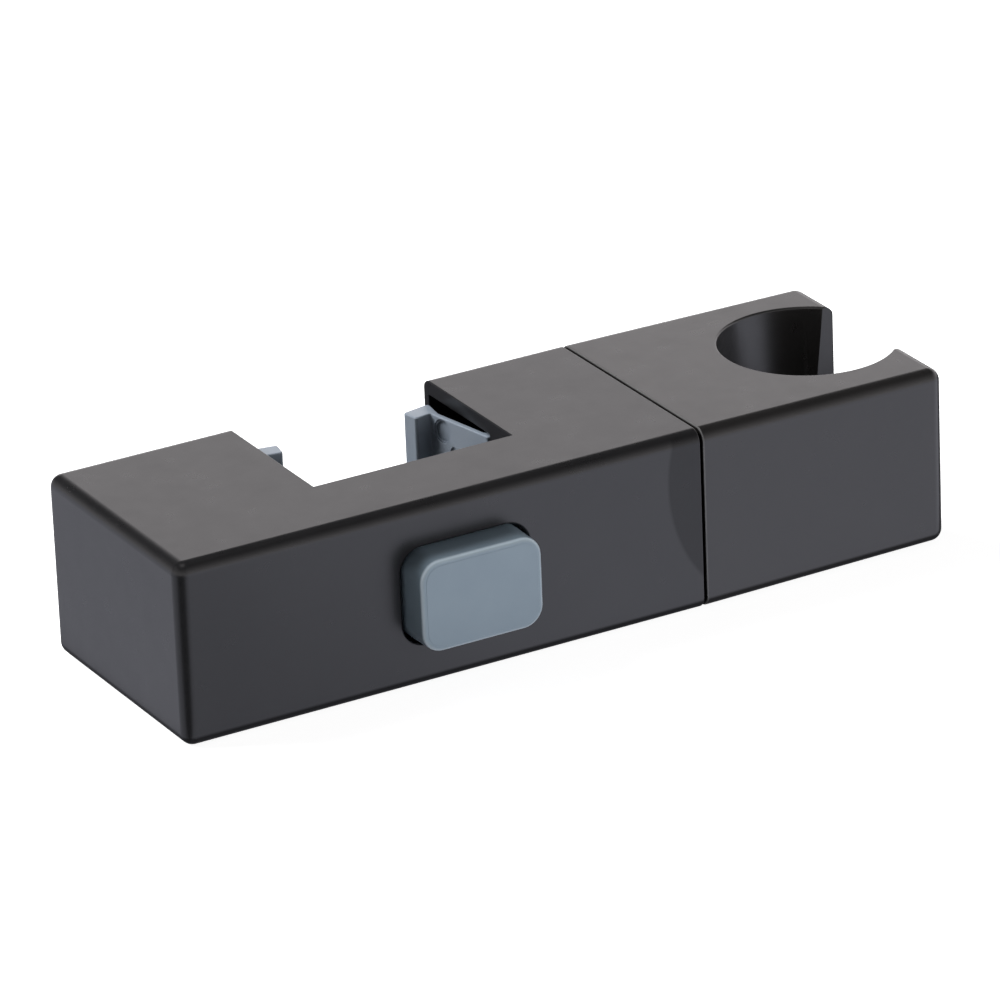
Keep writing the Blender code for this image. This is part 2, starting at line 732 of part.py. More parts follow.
def make_button(look):
    """An open-backed cap with two posts that push the jaws' levers, held in by two lips."""
    half_width = BUTTON_WIDTH / 2
    half_height = BUTTON_HEIGHT / 2
    front = Y_FRONT - BUTTON_PROUD
    points = rectangle((X_MID - half_width, -half_height), (X_MID + half_width, half_height), BUTTON_CORNER)
    button = outline("release_button", points, -Y_SKIRT, -front, along_y(Z_MID), collection=PARTS)
    shape = bmesh.new()
    shape.from_mesh(button.data)
    front_faces = [face for face in shape.faces if face.normal.y < -0.9]
    bmesh.ops.dissolve_faces(shape, faces=front_faces)
    for vert in shape.verts:
        if vert.co.y < front + SINK:
            vert.co.x -= (vert.co.x - X_MID) * BUTTON_TAPER / half_width
            vert.co.z -= (vert.co.z - Z_MID) * BUTTON_TAPER / half_height
    rim = [
        edge
        for edge in shape.edges
        if all(abs(vert.co.y - front) < NEAR for vert in edge.verts)
    ]
    bmesh.ops.bevel(
        shape,
        geom=rim,
        offset=BUTTON_EDGE,
        segments=DOME_STEPS,
        profile=0.5,
        affect="EDGES",
        clamp_overlap=True,
    )
    bmesh.ops.triangulate(shape, faces=shape.faces)
    shape.to_mesh(button.data)
    shape.free()

    inner = rectangle(
        (X_MID - half_width + BUTTON_WALL, -half_height + BUTTON_WALL),
        (X_MID + half_width - BUTTON_WALL, half_height - BUTTON_WALL),
        BUTTON_CORNER - BUTTON_WALL,
    )
    bottom = front + BUTTON_WALL
    hollow = outline("button_hollow_cut", inner, -(Y_SKIRT + OVERCUT), -bottom, along_y(Z_MID))
    cut(button, hollow, solver="MANIFOLD")
    for side in (-1, 1):
        x = X_MID + side * POST_OFFSET
        round_end = arc((x, Y_POST - POST_RADIUS), POST_RADIUS, 0.0, math.pi, 2 * CORNER_STEPS)
        post_points = [(x - POST_RADIUS, bottom - SINK), (x + POST_RADIUS, bottom - SINK)] + round_end
        post = outline("post", post_points, Z_MID - POST_HEIGHT / 2, Z_MID + POST_HEIGHT / 2)
        lip_low = Z_MID + side * (half_height - SINK)
        lip_high = Z_MID + side * (half_height + BUTTON_END_GAP + LIP_REACH)
        lip = block(
            "lip",
            (X_MID - LIP_WIDTH / 2, Y_LIP, min(lip_low, lip_high)),
            (X_MID + LIP_WIDTH / 2, Y_SKIRT, max(lip_low, lip_high)),
        )
        join(button, post, lip, solver="MANIFOLD")
    rib = block(
        "button_rib",
        (X_MID - half_width + BUTTON_WALL - SINK, bottom - SINK, Z_MID - RIB_WALL / 2),
        (X_MID + half_width - BUTTON_WALL + SINK, Y_FRONT, Z_MID + RIB_WALL / 2),
    )
    join(button, rib, solver="MANIFOLD")
    return finish(button, look, origin=(X_MID, Y_FRONT, Z_MID))


# Jaws

def jaw_frame():
    """The plate's own directions, from the pivot: along it to the hook, and out behind it."""
    along = Vector((-math.sin(PLATE_ANGLE), math.cos(PLATE_ANGLE)))
    out = Vector((math.cos(PLATE_ANGLE), math.sin(PLATE_ANGLE)))
    shoulder = Y_WINDOW + FIT - Y_PIVOT
    start = Vector((-PIVOT_INSET - PLATE_PROUD, shoulder))
    length = (Y_BACK - HOOK_SETBACK - Y_PIVOT - shoulder) / math.cos(PLATE_ANGLE)
    return along, out, start, start + along * length


def jaw_rim():
    """The full-height wall of the right jaw: arm, shoulder, plate and hook, about its pivot."""
    along, out, start, root = jaw_frame()
    arm_inner = -PIVOT_INSET + SIDE_WALL + FIT
    arm_outer = arm_inner + ARM_WALL
    arm_front = PIN_BOSS_RADIUS + ARM_CLEARANCE
    overlap = SHOULDER_WALL / 2
    tip = root - out * HOOK_REACH
    outer_back = root + along * HOOK_THICKNESS + out * HOOK_FLARE
    pocket_back = root + out * PLATE_WALL - along * overlap
    pocket_front = start + out * PLATE_WALL + along * SHOULDER_WALL
    return [
        (arm_inner, arm_front, 0.0),
        (arm_inner, start.y, 0.0),
        (*start, HOOK_CORNER),
        (*root, 0.0),
        (*tip, HOOK_CORNER),
        (*(tip + along * HOOK_THICKNESS), HOOK_CORNER),
        (*outer_back, HOOK_CORNER),
        (*pocket_back, 0.0),
        (*pocket_front, 0.0),
        (arm_outer, start.y + SHOULDER_WALL, HOOK_CORNER),
        (arm_outer, arm_front, 0.0),
    ]


def jaw_web():
    """The thin web that closes the pocket behind the plate at mid height."""
    along, out, start, root = jaw_frame()
    arm_outer = -PIVOT_INSET + SIDE_WALL + FIT + ARM_WALL
    half = PLATE_WALL / 2
    return [
        tuple(start + out * half + along * half),
        tuple(root + out * half + along * half),
        tuple(root + along * (HOOK_THICKNESS - half) + out * (HOOK_FLARE - half)),
        (arm_outer - half, start.y + SHOULDER_WALL / 2),
    ]


def make_jaw(name, side, look):
    def mirrored(points):
        return [(pivot_x(side) + side * x, Y_PIVOT + y, *rest) for x, y, *rest in points]

    def place_3d(flat, z):
        return (pivot_x(side) + side * flat.x, Y_PIVOT + flat.y, z)

    jaw = outline(name, rounded(mirrored(jaw_rim())), Z_JAW_LOW, Z_JAW_HIGH, collection=PARTS)
    web = outline("jaw_web", mirrored(jaw_web()), Z_MID - WEB_HEIGHT / 2, Z_MID + WEB_HEIGHT / 2)
    axis = Vector((pivot_x(side), Y_PIVOT))
    boss = bar("jaw_boss", JAW_BOSS_RADIUS, (*axis, Z_BOSS_LOW), (*axis, Z_BOSS_HIGH))
    arm_inner = -PIVOT_INSET + SIDE_WALL + FIT
    root_high = PIN_BOSS_RADIUS + ARM_CLEARANCE + SINK
    root_points = [
        (arm_inner, 0.0),
        (arm_inner, root_high),
        (arm_inner + ARM_WALL, root_high),
        (arm_inner + ARM_WALL, 0.0),
    ]
    root = outline("jaw_root", mirrored(root_points), Z_BOSS_LOW, Z_BOSS_HIGH)
    front = Y_LEVER - Y_PIVOT
    rear = Y_LEVER_REAR - Y_PIVOT
    end = -(LEVER_REACH + LEVER_OVERHANG)
    corner = (LEVER_THICKNESS - LEVER_FLAT) / 2
    lever_points = [
        (0.0, front, 0.0),
        (end, front, corner),
        (end, rear, corner),
        (0.0, rear, 0.0),
    ]
    lever = outline(
        "lever",
        rounded(mirrored(lever_points)),
        Z_MID - LEVER_HEIGHT / 2,
        Z_MID + LEVER_HEIGHT / 2,
    )
    stud_x = spring_x(side)
    stud = bar(
        "lever_stud",
        STUD_RADIUS,
        (stud_x, Y_LEVER_REAR - SINK, Z_MID),
        (stud_x, Y_LEVER_REAR + LEVER_STUD, Z_MID),
        steps=STUD_STEPS,
    )
    join(jaw, web, boss, root, lever, stud)
    bore = bar(
        "jaw_bore",
        PIN_HOLE,
        (*axis, Z_BOSS_LOW - OVERCUT),
        (*axis, Z_BOSS_HIGH + OVERCUT),
        steps=SMALL_STEPS,
    )
    cut(jaw, bore)

    along, out, _, root_point = jaw_frame()
    marks = (
        ("mark_rim_cut", MARK_RIM, MARK_STEP, MARK_ALONG, MARK_DROP),
        ("mark_cut", MARK_RADIUS, MARK_DEPTH, MARK_ALONG, MARK_DROP),
        ("gate_cut", GATE_RADIUS, MARK_STEP * 2, GATE_ALONG, GATE_DROP),
    )
    for cutter_name, radius, depth, back, drop in marks:
        middle = root_point - along * back
        mouth = place_3d(middle - out * OVERCUT, Z_JAW_HIGH - drop)
        floor = place_3d(middle + out * depth, Z_JAW_HIGH - drop)
        cut(jaw, bar(cutter_name, radius, mouth, floor, steps=STUD_STEPS))
    return finish(jaw, look, origin=(pivot_x(side), Y_PIVOT, Z_MID))


def make_pin(name, side, look):
    low = PIN_SKIN + FIT
    high = HEIGHT - PIN_SKIN - FIT
    profile = (
        (0.0, high),
        (PIN_RADIUS - PIN_CHAMFER, high),
        (PIN_RADIUS, high - PIN_CHAMFER),
        (PIN_RADIUS, low + PIN_CHAMFER),
        (PIN_RADIUS - PIN_CHAMFER, low),
        (0.0, low),
    )
    pin = turned(name, profile, Matrix.Translation((pivot_x(side), Y_PIVOT, 0.0)), steps=SMALL_STEPS)
    return finish(pin, look)


def make_jaw_spring(name, side, look):
    x = spring_x(side)
    start = (x, Y_LEVER_REAR + FIT, Z_MID)
    end = (x, Y_CHANNEL_END - FIT, Z_MID)
    return finish(coil(name, SPRING_RADIUS, SPRING_WIRE, SPRING_TURNS, start, end), look)


# Swivel and head

def make_bush(look):
    flange = BUSH_RADIUS + BUSH_FLANGE
    length = X_COUNTERBORE - X_BUSH_LEFT
    profile = (
        (BUSH_RADIUS, length),
        (BUSH_RADIUS, BUSH_FLANGE_THICKNESS),
        (flange, BUSH_FLANGE_THICKNESS),
        (flange, 0.0),
        (SPINDLE_HOLE, 0.0),
        (SPINDLE_HOLE, length),
    )
    return finish(turned("swivel_bush", profile, along_x(X_BUSH_LEFT)), look)


def ring(name, inner, outer, thickness, x, look):
    profile = ((outer, thickness), (outer, 0.0), (inner, 0.0), (inner, thickness))
    return finish(turned(name, profile, along_x(x)), look)


def make_swivel_screw(look):
    head = SWIVEL_SCREW_HEAD_RADIUS
    seat = SWIVEL_SCREW_HEAD
    dome = SWIVEL_SCREW_DOME
    tip = X_SCREW_TIP - X_SCREW_SEAT + seat
    profile = (
        (0.0, tip),
        (SWIVEL_SCREW_RADIUS - SWIVEL_SCREW_CHAMFER, tip),
        (SWIVEL_SCREW_RADIUS, tip - SWIVEL_SCREW_CHAMFER),
        (SWIVEL_SCREW_RADIUS, seat),
        (head, seat),
        *arc((head - dome, dome), dome, 0.0, -math.pi / 2, DOME_STEPS),
        (0.0, 0.0),
    )
    turn = along_x(X_SCREW_SEAT - seat)
    screw = turned("swivel_screw", profile, turn)
    cutter = cross_recess(
        "swivel_cross_cut",
        turn,
        SWIVEL_RECESS_WIDTH,
        SWIVEL_RECESS_REACH,
        SWIVEL_RECESS_DEPTH,
    )
    cut(screw, cutter)
    return finish(screw, look)


def make_head():
    shape = rounded_block(
        (X_HEAD, Y_FRONT, 0.0),
        (X_RIGHT, Y_BACK, HEIGHT),
        X_HEAD,
        HEAD_DRAFT_Y,
        HEAD_DRAFT_Z,
    )
    head = finish_mesh("swivel_head", shape, PARTS)
    cut(head, head_core())
    spindle = bar(
        "spindle",
        SPINDLE_RADIUS,
        (X_SPINDLE_END, Y_MID, Z_MID),
        (X_HEAD + SINK, Y_MID, Z_MID),
    )
    join(head, spindle)
    bottom_radius = CRADLE_RADIUS - math.tan(CRADLE_TAPER) * (HEIGHT + OVERCUT)
    top_radius = CRADLE_RADIUS + math.tan(CRADLE_TAPER) * OVERCUT
    bore = bar(
        "cradle_cut",
        bottom_radius,
        (X_CRADLE, Y_CRADLE, -OVERCUT),
        (X_CRADLE, Y_CRADLE, HEIGHT + OVERCUT),
        end_radius=top_radius,
        steps=CRADLE_STEPS,
    )
    slot = block(
        "slot_cut",
        (X_CRADLE, Y_CRADLE - SLOT_WIDTH / 2, -OVERCUT),
        (X_RIGHT + OVERCUT, Y_CRADLE + SLOT_WIDTH / 2, HEIGHT + OVERCUT),
    )
    screw_bore = bar(
        "screw_bore_cut",
        SWIVEL_SCREW_HOLE,
        (X_SPINDLE_END - OVERCUT, Y_MID, Z_MID),
        (X_SCREW_TIP + 2 * FIT, Y_MID, Z_MID),
        steps=SMALL_STEPS,
    )
    cut(head, bore, slot, screw_bore)
    return head


def head_core():
    """What is hollow in the head from below: all but its walls, ribs, cradle wall and boss."""
    core = block(
        "core_cut",
        (X_HEAD + HEAD_WALL, Y_FRONT + HEAD_WALL, -OVERCUT),
        (X_RIGHT - HEAD_WALL, Y_BACK - HEAD_WALL, HEIGHT - HEAD_WALL),
    )
    sleeve = bar(
        "cradle_sleeve",
        CRADLE_RADIUS + CRADLE_WALL,
        (X_CRADLE, Y_CRADLE, -2 * OVERCUT),
        (X_CRADLE, Y_CRADLE, HEIGHT),
    )
    prongs = block(
        "slot_sleeve",
        (X_CRADLE, Y_CRADLE - SLOT_WIDTH / 2 - CRADLE_WALL, -2 * OVERCUT),
        (X_RIGHT, Y_CRADLE + SLOT_WIDTH / 2 + CRADLE_WALL, HEIGHT),
    )
    boss = bar(
        "screw_boss_sleeve",
        SCREW_BOSS_RADIUS,
        (X_HEAD, Y_MID, Z_MID),
        (X_CRADLE - CRADLE_RADIUS, Y_MID, Z_MID),
        steps=SMALL_STEPS,
    )
    cut(core, sleeve, prongs, boss)
    for offset in (-HEAD_RIB_OFFSET, 0.0, HEAD_RIB_OFFSET):
        y = Y_MID + offset
        rib = block(
            "head_rib",
            (X_HEAD, y - RIB_WALL / 2, 2 * OVERCUT),
            (X_CRADLE, y + RIB_WALL / 2, HEIGHT),
        )
        cut(core, rib)
    return core


def make_swivel(black, steel, polymer):
    axis = axis_empty("head_swivel_axis", (X_HEAD, Y_MID, Z_MID))
    head = finish(make_head(), black, origin=(X_HEAD, Y_MID, Z_MID))
    make_bush(polymer)
    washer = ring(
        "friction_washer",
        SPINDLE_HOLE,
        FRICTION_WASHER_RADIUS,
        FRICTION_WASHER_THICKNESS,
        X_COUNTERBORE + FIT,
        polymer,
    )
    plate = ring(
        "swivel_washer",
        SWIVEL_SCREW_HOLE,
        SWIVEL_WASHER_RADIUS,
        SWIVEL_WASHER_THICKNESS,
        X_WASHER_LEFT,
        steel,
    )
    spring = coil(
        "swivel_spring",
        SPINDLE_HOLE + SWIVEL_SPRING_WIRE + FIT,
        SWIVEL_SPRING_WIRE,
        SWIVEL_SPRING_TURNS,
        (X_SPRING_LEFT, Y_MID, Z_MID),
        (X_SPRING_RIGHT, Y_MID, Z_MID),
        steps=SWIVEL_COIL_STEPS,
    )
    finish(spring, steel)
    screw = make_swivel_screw(steel)
    bpy.context.view_layer.update()
    for piece in (head, washer, plate, spring, screw):
        kept = piece.matrix_world.copy()
        piece.parent = axis
        piece.matrix_parent_inverse = axis.matrix_world.inverted()
        piece.matrix_world = kept


def main():
    clear_scene()
    black = material("black_plastic", (0.02, 0.02, 0.022), 0.45)
    grey = material("grey_plastic", (0.19, 0.23, 0.27), 0.5)
    steel = material("steel", (0.62, 0.62, 0.63), 0.3, 1.0)
    polymer = material("bearing_plastic", (0.72, 0.71, 0.67), 0.45)
    make_housing(black)
    make_cover(black)
    make_cover_screws(steel)
    make_button(grey)
    for name, side in (("left", -1), ("right", 1)):
        make_jaw(f"{name}_jaw", side, grey)
        make_pin(f"{name}_pivot_pin", side, steel)
        make_jaw_spring(f"{name}_jaw_spring", side, steel)
    make_swivel(black, steel, polymer)


main()
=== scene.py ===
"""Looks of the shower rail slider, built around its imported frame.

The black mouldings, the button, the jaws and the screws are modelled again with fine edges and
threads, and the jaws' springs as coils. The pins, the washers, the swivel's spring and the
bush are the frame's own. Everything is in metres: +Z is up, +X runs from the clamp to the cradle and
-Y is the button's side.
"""

import json
from math import atan2, ceil, copysign, cos, pi, radians, sin, tan

import bmesh
import bpy
from mathutils import Matrix, Vector

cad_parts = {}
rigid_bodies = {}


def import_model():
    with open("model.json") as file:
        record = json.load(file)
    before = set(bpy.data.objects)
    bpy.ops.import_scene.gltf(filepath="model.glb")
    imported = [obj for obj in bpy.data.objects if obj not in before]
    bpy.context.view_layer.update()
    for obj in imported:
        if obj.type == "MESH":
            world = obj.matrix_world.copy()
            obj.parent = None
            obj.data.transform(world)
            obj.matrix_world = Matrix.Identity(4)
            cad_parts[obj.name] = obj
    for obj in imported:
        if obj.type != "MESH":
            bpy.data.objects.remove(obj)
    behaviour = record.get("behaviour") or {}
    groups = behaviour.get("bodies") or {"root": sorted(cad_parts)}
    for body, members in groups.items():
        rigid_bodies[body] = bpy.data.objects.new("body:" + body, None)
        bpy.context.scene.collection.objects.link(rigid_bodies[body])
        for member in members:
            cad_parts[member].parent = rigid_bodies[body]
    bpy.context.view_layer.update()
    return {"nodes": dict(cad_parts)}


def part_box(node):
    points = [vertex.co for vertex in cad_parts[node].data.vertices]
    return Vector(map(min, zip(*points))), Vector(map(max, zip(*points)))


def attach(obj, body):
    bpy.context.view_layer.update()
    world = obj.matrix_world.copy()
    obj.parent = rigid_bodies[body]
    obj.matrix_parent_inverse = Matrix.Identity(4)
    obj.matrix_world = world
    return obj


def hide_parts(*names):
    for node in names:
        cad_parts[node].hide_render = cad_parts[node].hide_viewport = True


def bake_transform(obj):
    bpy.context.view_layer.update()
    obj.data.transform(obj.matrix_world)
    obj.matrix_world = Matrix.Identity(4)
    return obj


MM = 0.001

for old in list(bpy.data.objects):
    bpy.data.objects.remove(old, do_unlink=True)

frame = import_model()

# The frame's own places
HOUSING_LOW, HOUSING_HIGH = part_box("housing")
HEAD_LOW, HEAD_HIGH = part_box("swivel_head")
BUTTON_LOW, BUTTON_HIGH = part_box("release_button")
BUSH_LOW, BUSH_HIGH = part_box("swivel_bush")
FRICTION_LOW, FRICTION_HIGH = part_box("friction_washer")
SWIVEL_WASHER_LOW, SWIVEL_WASHER_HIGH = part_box("swivel_washer")
SWIVEL_SCREW_LOW, SWIVEL_SCREW_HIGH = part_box("swivel_screw")
PIN_BOXES = {-1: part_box("left_pivot_pin"), 1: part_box("right_pivot_pin")}
SPRING_BOXES = {-1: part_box("left_jaw_spring"), 1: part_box("right_jaw_spring")}
SCREW_BOXES = [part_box(f"cover_screw_{number}") for number in (1, 2, 3, 4)]

# Clearances, overlaps, and the distance at which two points are one
FIT = 0.3 * MM
OVERCUT = 1.0 * MM
SINK = 0.4 * MM
NEAR = 0.04 * MM
WELD = 0.0002 * MM

# Clamp
NOTCH_FROM_LEFT = 27.3 * MM
NOTCH_WIDTH = 30.05 * MM
NOTCH_DEPTH = 24.3 * MM
EDGE_RADIUS = 1.8 * MM
TOP_WALL = 2.1 * MM
REAR_WALL = 1.4 * MM
FRONT_WALL = 2.0 * MM
SIDE_WALL = 2.0 * MM
SEAM_WALL = 3.1 * MM
CAVITY_CORNER = 1.0 * MM
WINDOW_REACH = 18.1 * MM
COVER_THICKNESS = 2.0 * MM
RIB_WALL = 1.2 * MM
RIB_DEPTH = 4.5 * MM
RIB_SPACING = 5.0 * MM
ARM_RIBS = (2, 3)
PIN_SKIN = 1.3 * MM
PIN_BOSS_WALL = 1.2 * MM
PIN_BOSS_HEIGHT = 2.6 * MM
SCREW_BOSS_WALL = 1.7 * MM
STUD_RADIUS = 1.3 * MM
WALL_STUD = 0.8 * MM

# Fine edges
NOTCH_RIM = 0.2 * MM
WINDOW_RIM = 0.15 * MM
BUTTON_RIM = 0.3 * MM
SEAM_RIM = 0.25 * MM
CRADLE_RIM = 0.3 * MM
COVER_RIM = 0.15 * MM
JAW_RIM = 0.22 * MM

# Button
BUTTON_CORNER = 3.1 * MM
BUTTON_WALL = 1.5 * MM
BUTTON_EDGE = 0.6 * MM
BUTTON_TAPER = 0.15 * MM
BUTTON_STROKE = 3.0 * MM
BUTTON_SIDE_GAP = 0.5 * MM
BUTTON_END_GAP = 0.3 * MM
BUTTON_LIP = 1.3 * MM
LIP_THICKNESS = 0.9 * MM
LIP_WIDTH = 12.0 * MM
POST_OFFSET = 4.0 * MM
POST_REACH = 1.2 * MM
POST_RADIUS = 1.3 * MM
POST_HEIGHT = 9.0 * MM
FIELD_BORDER = 0.1 * MM
FIELD_STEP = 0.05 * MM

# Jaws
PIVOT_INSET = 4.5 * MM
JAW_END_GAP = 0.5 * MM
JAW_BOSS_WALL = 1.4 * MM
PLATE_ANGLE = radians(11.1)
PLATE_WALL = 0.8 * MM
PLATE_PROUD = 0.1 * MM
HOOK_SETBACK = 6.1 * MM
HOOK_REACH = 2.5 * MM
HOOK_THICKNESS = 2.8 * MM
HOOK_CORNER = 0.45 * MM
HOOK_FLARE = 2.0 * MM
SHOULDER_WALL = 1.5 * MM
SHOULDER_CORNER = 0.3 * MM
ARM_WALL = 2.6 * MM
ARM_CLEARANCE = 1.2 * MM
WEB_HEIGHT = 2.4 * MM
LEVER_THICKNESS = 2.4 * MM
LEVER_HEIGHT = 10.0 * MM
LEVER_OVERHANG = 1.4 * MM
LEVER_FLAT = 0.3 * MM
PIVOT_SETBACK = 1.8 * MM
SPRING_REACH = 9.0 * MM
SPRING_WIRE = 0.22 * MM
SPRING_TURNS = 3
MARK_RADIUS = 1.5 * MM
MARK_RIM = 1.75 * MM
MARK_DEPTH = 0.4 * MM
MARK_STEP = 0.12 * MM
MARK_ALONG = 2.5 * MM
MARK_DROP = 1.95 * MM
GATE_RADIUS = 0.7 * MM
GATE_ALONG = 4.7 * MM
GATE_DROP = 4.3 * MM

# Screws
SCREW_RADIUS = 1.25 * MM
SCREW_CORE = 1.0 * MM
SCREW_PITCH = 0.8 * MM
SCREW_HEAD_HEIGHT = 1.4 * MM
SCREW_POINT = 1.2 * MM
POINT_SHARE = 0.35
THREAD_SHARPNESS = 3
RECESS_WIDTH = 0.6 * MM
RECESS_REACH = 1.5 * MM
RECESS_DEPTH = 0.7 * MM
SWIVEL_SCREW_RADIUS = 1.9 * MM
SWIVEL_SCREW_CORE = 1.6 * MM
SWIVEL_SCREW_PITCH = 1.0 * MM
SWIVEL_SCREW_HEAD = 2.2 * MM
SWIVEL_SCREW_DOME = 1.1 * MM
SWIVEL_RECESS_WIDTH = 0.9 * MM
SWIVEL_RECESS_REACH = 2.0 * MM
SWIVEL_RECESS_DEPTH = 1.1 * MM
SWIVEL_THREAD = 12.0 * MM

# Head and swivel
HEAD_DRAFT_Z = 0.3 * MM
HEAD_DRAFT_Y = 0.2 * MM
HEAD_WALL = 2.3 * MM
SPINDLE_RADIUS = 4.6 * MM
SPINDLE_REACH = 8.7 * MM
BUSH_WALL = 1.3 * MM
CRADLE_SETBACK = 10.0 * MM
CRADLE_OFFSET = 0.5 * MM
CRADLE_RADIUS = 12.3 * MM
CRADLE_TAPER = radians(4.0)
CRADLE_WALL = 2.2 * MM
SLOT_WIDTH = 18.2 * MM
HEAD_RIB_OFFSET = 8.6 * MM

# Steps of the round forms
EDGE_STEPS = 12
CORNER_STEPS = 8
RIM_STEPS = 4
ROUND_STEPS = 72
SMALL_STEPS = 40
CRADLE_STEPS = 160
THREAD_STEPS = 8
COIL_STEPS = 32
WIRE_STEPS = 12
ROUND_PROFILE = 0.5
SMOOTH_ANGLE = radians(32)

# Finishes: how wide the changes of tone, gloss, wave and grain are, and how deep the last two
TONE_SIZE = 9.0 * MM
GLOSS_SIZE = 3.5 * MM
WAVE_SIZE = 2.2 * MM
WAVE_DEPTH = 0.02 * MM
WAVE_STRENGTH = 0.1
GRAIN_SIZE = 0.11 * MM
GRAIN_DEPTH = 0.006 * MM
STEEL_TONE_SIZE = 1.5 * MM
STEEL_GLOSS_SIZE = 0.6 * MM
STEEL_LINE_SIZE = 0.5 * MM
STEEL_LINE_DEPTH = 0.01 * MM
STEEL_LINE_STRETCH = (1.0, 1.0, 8.0)
PATCH_OFFSET = 17.1 * MM
PATCH_HEIGHT = 19.0 * MM
PATCH_RADIUS = 22.0 * MM
PATCH_EDGE = 0.5 * MM
PATCH_LEVEL = 0.68
# Colours of the painted highlights along the head's edge at the seam and round the button's face
SEAM_HIGHLIGHT_BLACK = (0.11, 0.11, 0.11)
BUTTON_HIGHLIGHT_GREY = (0.42, 0.5, 0.56)

# Camera
CAMERA_AZIMUTH = -28.78
CAMERA_ELEVATION = 23.45
CAMERA_ROLL = -2.37
CAMERA_DISTANCE = 1.02594
CAMERA_TARGET = Vector((-0.12, 2.80, 14.08)) * MM
CAMERA_LENS = 274.67
CAMERA_SENSOR = 36.0
CAMERA_REACH = (0.05, 20.0)

# Floor: only mirrored light sees its glow, in front of the clamp and left of it
FLOOR_SIZE = 3.0
FLOOR_DROP = 0.02 * MM
FLOOR_COLOUR = 0.55
FLOOR_WHITE = 0.88
FLOOR_LEFT = 0.72
FLOOR_FRONT = 0.95
FLOOR_RIGHT = 1.45
FLOOR_DARK = 0.12
FLOOR_TINT = (0.97, 0.985, 1.12, 1.0)
FLOOR_TURN = (-0.6, 0.15)
FLOOR_FOOT = 2.2 * MM

# Surroundings: heights and sides are the parts of a direction of length 1
SKY_TINT = (1.04, 1.0, 1.015, 1.0)
SKY_DARK = 0.08
SKY_DIFFUSE = 0.1
SKY_BAND = 1.45
SKY_BAND_TOP = (0.44, 0.56)
SKY_BACK = (-0.15, 0.35)
SKY_RIGHT = (0.0, 0.3)
SKY_FRONT = 1.25
SKY_FRONT_TOP = 0.9
SKY_LEFT = 0.7
SKY_LEFT_TOP = 0.55
SKY_LEFT_END = (-0.3, 0.0)
SKY_OVERHEAD = (0.93, 0.98)
KEYS = (
    ("front_key", (0.36, -0.8, 0.12), 0.5, 6.0),
    ("rear_key", (-0.5, 0.55, 0.68), 0.6, 20.5),
)

# Places that follow from the frame and the sizes
HEIGHT = HOUSING_HIGH.z
X_LEFT = HOUSING_LOW.x
X_CLAMP_END = HOUSING_HIGH.x
Y_FRONT = HOUSING_LOW.y
Y_BACK = HOUSING_HIGH.y
Y_MID = (Y_FRONT + Y_BACK) / 2
Z_MID = HEIGHT / 2
Z_CEILING = HEIGHT - TOP_WALL
X_NOTCH_LEFT = X_LEFT + NOTCH_FROM_LEFT
X_NOTCH_RIGHT = X_NOTCH_LEFT + NOTCH_WIDTH
X_MID = (X_NOTCH_LEFT + X_NOTCH_RIGHT) / 2
X_WALL_INSIDE = X_CLAMP_END - SEAM_WALL
X_RIGHT = HEAD_HIGH.x
X_SPINDLE_END = HEAD_LOW.x
X_HEAD = X_SPINDLE_END + SPINDLE_REACH
HEAD_LENGTH = X_RIGHT - X_HEAD
Y_NOTCH = Y_BACK - NOTCH_DEPTH
Y_FRONT_INSIDE = Y_FRONT + FRONT_WALL
Y_CHANNEL_END = Y_NOTCH - FRONT_WALL
Y_WINDOW = Y_BACK - WINDOW_REACH
Y_LIP = Y_FRONT_INSIDE + FIT
Y_SKIRT = Y_LIP + LIP_THICKNESS
Y_POST = Y_SKIRT + POST_REACH
Y_LEVER = Y_POST + FIT
Y_LEVER_REAR = Y_LEVER + LEVER_THICKNESS
Y_PIVOT = Y_LEVER + PIVOT_SETBACK
LEVER_REACH = NOTCH_WIDTH / 2 + PIVOT_INSET - POST_OFFSET
SPRING_TRAVEL = BUTTON_STROKE * SPRING_REACH / LEVER_REACH
LEVER_STUD = Y_CHANNEL_END - Y_LEVER_REAR - WALL_STUD - SPRING_TRAVEL - 2 * FIT
PIN_RADIUS = (PIN_BOXES[1][1].x - PIN_BOXES[1][0].x) / 2
PIN_HOLE = PIN_RADIUS + FIT
PIN_BOSS_RADIUS = PIN_HOLE + PIN_BOSS_WALL
JAW_BOSS_RADIUS = PIN_HOLE + JAW_BOSS_WALL
ARM_INNER = -PIVOT_INSET + SIDE_WALL + FIT
ARM_OUTER = ARM_INNER + ARM_WALL
ARM_FRONT = PIN_BOSS_RADIUS + ARM_CLEARANCE
Z_JAW_LOW = COVER_THICKNESS + JAW_END_GAP
Z_JAW_HIGH = Z_CEILING - JAW_END_GAP
Z_BOSS_LOW = COVER_THICKNESS + PIN_BOSS_HEIGHT + FIT
Z_BOSS_HIGH = Z_CEILING - PIN_BOSS_HEIGHT - FIT
SCREW_HEAD_RADIUS = (SCREW_BOXES[0][1].x - SCREW_BOXES[0][0].x) / 2
SCREW_SINK = SCREW_BOXES[0][0].z
SCREW_PLACES = [((low.x + high.x) / 2, (low.y + high.y) / 2) for low, high in SCREW_BOXES]
X_CRADLE = X_RIGHT - CRADLE_SETBACK
Y_CRADLE = Y_MID + CRADLE_OFFSET
SCREW_HOLE = SCREW_RADIUS + FIT
SWIVEL_SCREW_HOLE = SWIVEL_SCREW_RADIUS + FIT
BUTTON_HALF_WIDTH = (BUTTON_HIGH.x - BUTTON_LOW.x) / 2
HOLE_HALF_HEIGHT = (BUTTON_HIGH.z - BUTTON_LOW.z) / 2 - BUTTON_LIP
X_COUNTERBORE = FRICTION_LOW.x - FIT
BUSH_FLANGE = (BUSH_HIGH.z - BUSH_LOW.z) / 2
BUSH_RADIUS = SPINDLE_RADIUS + FIT + BUSH_WALL
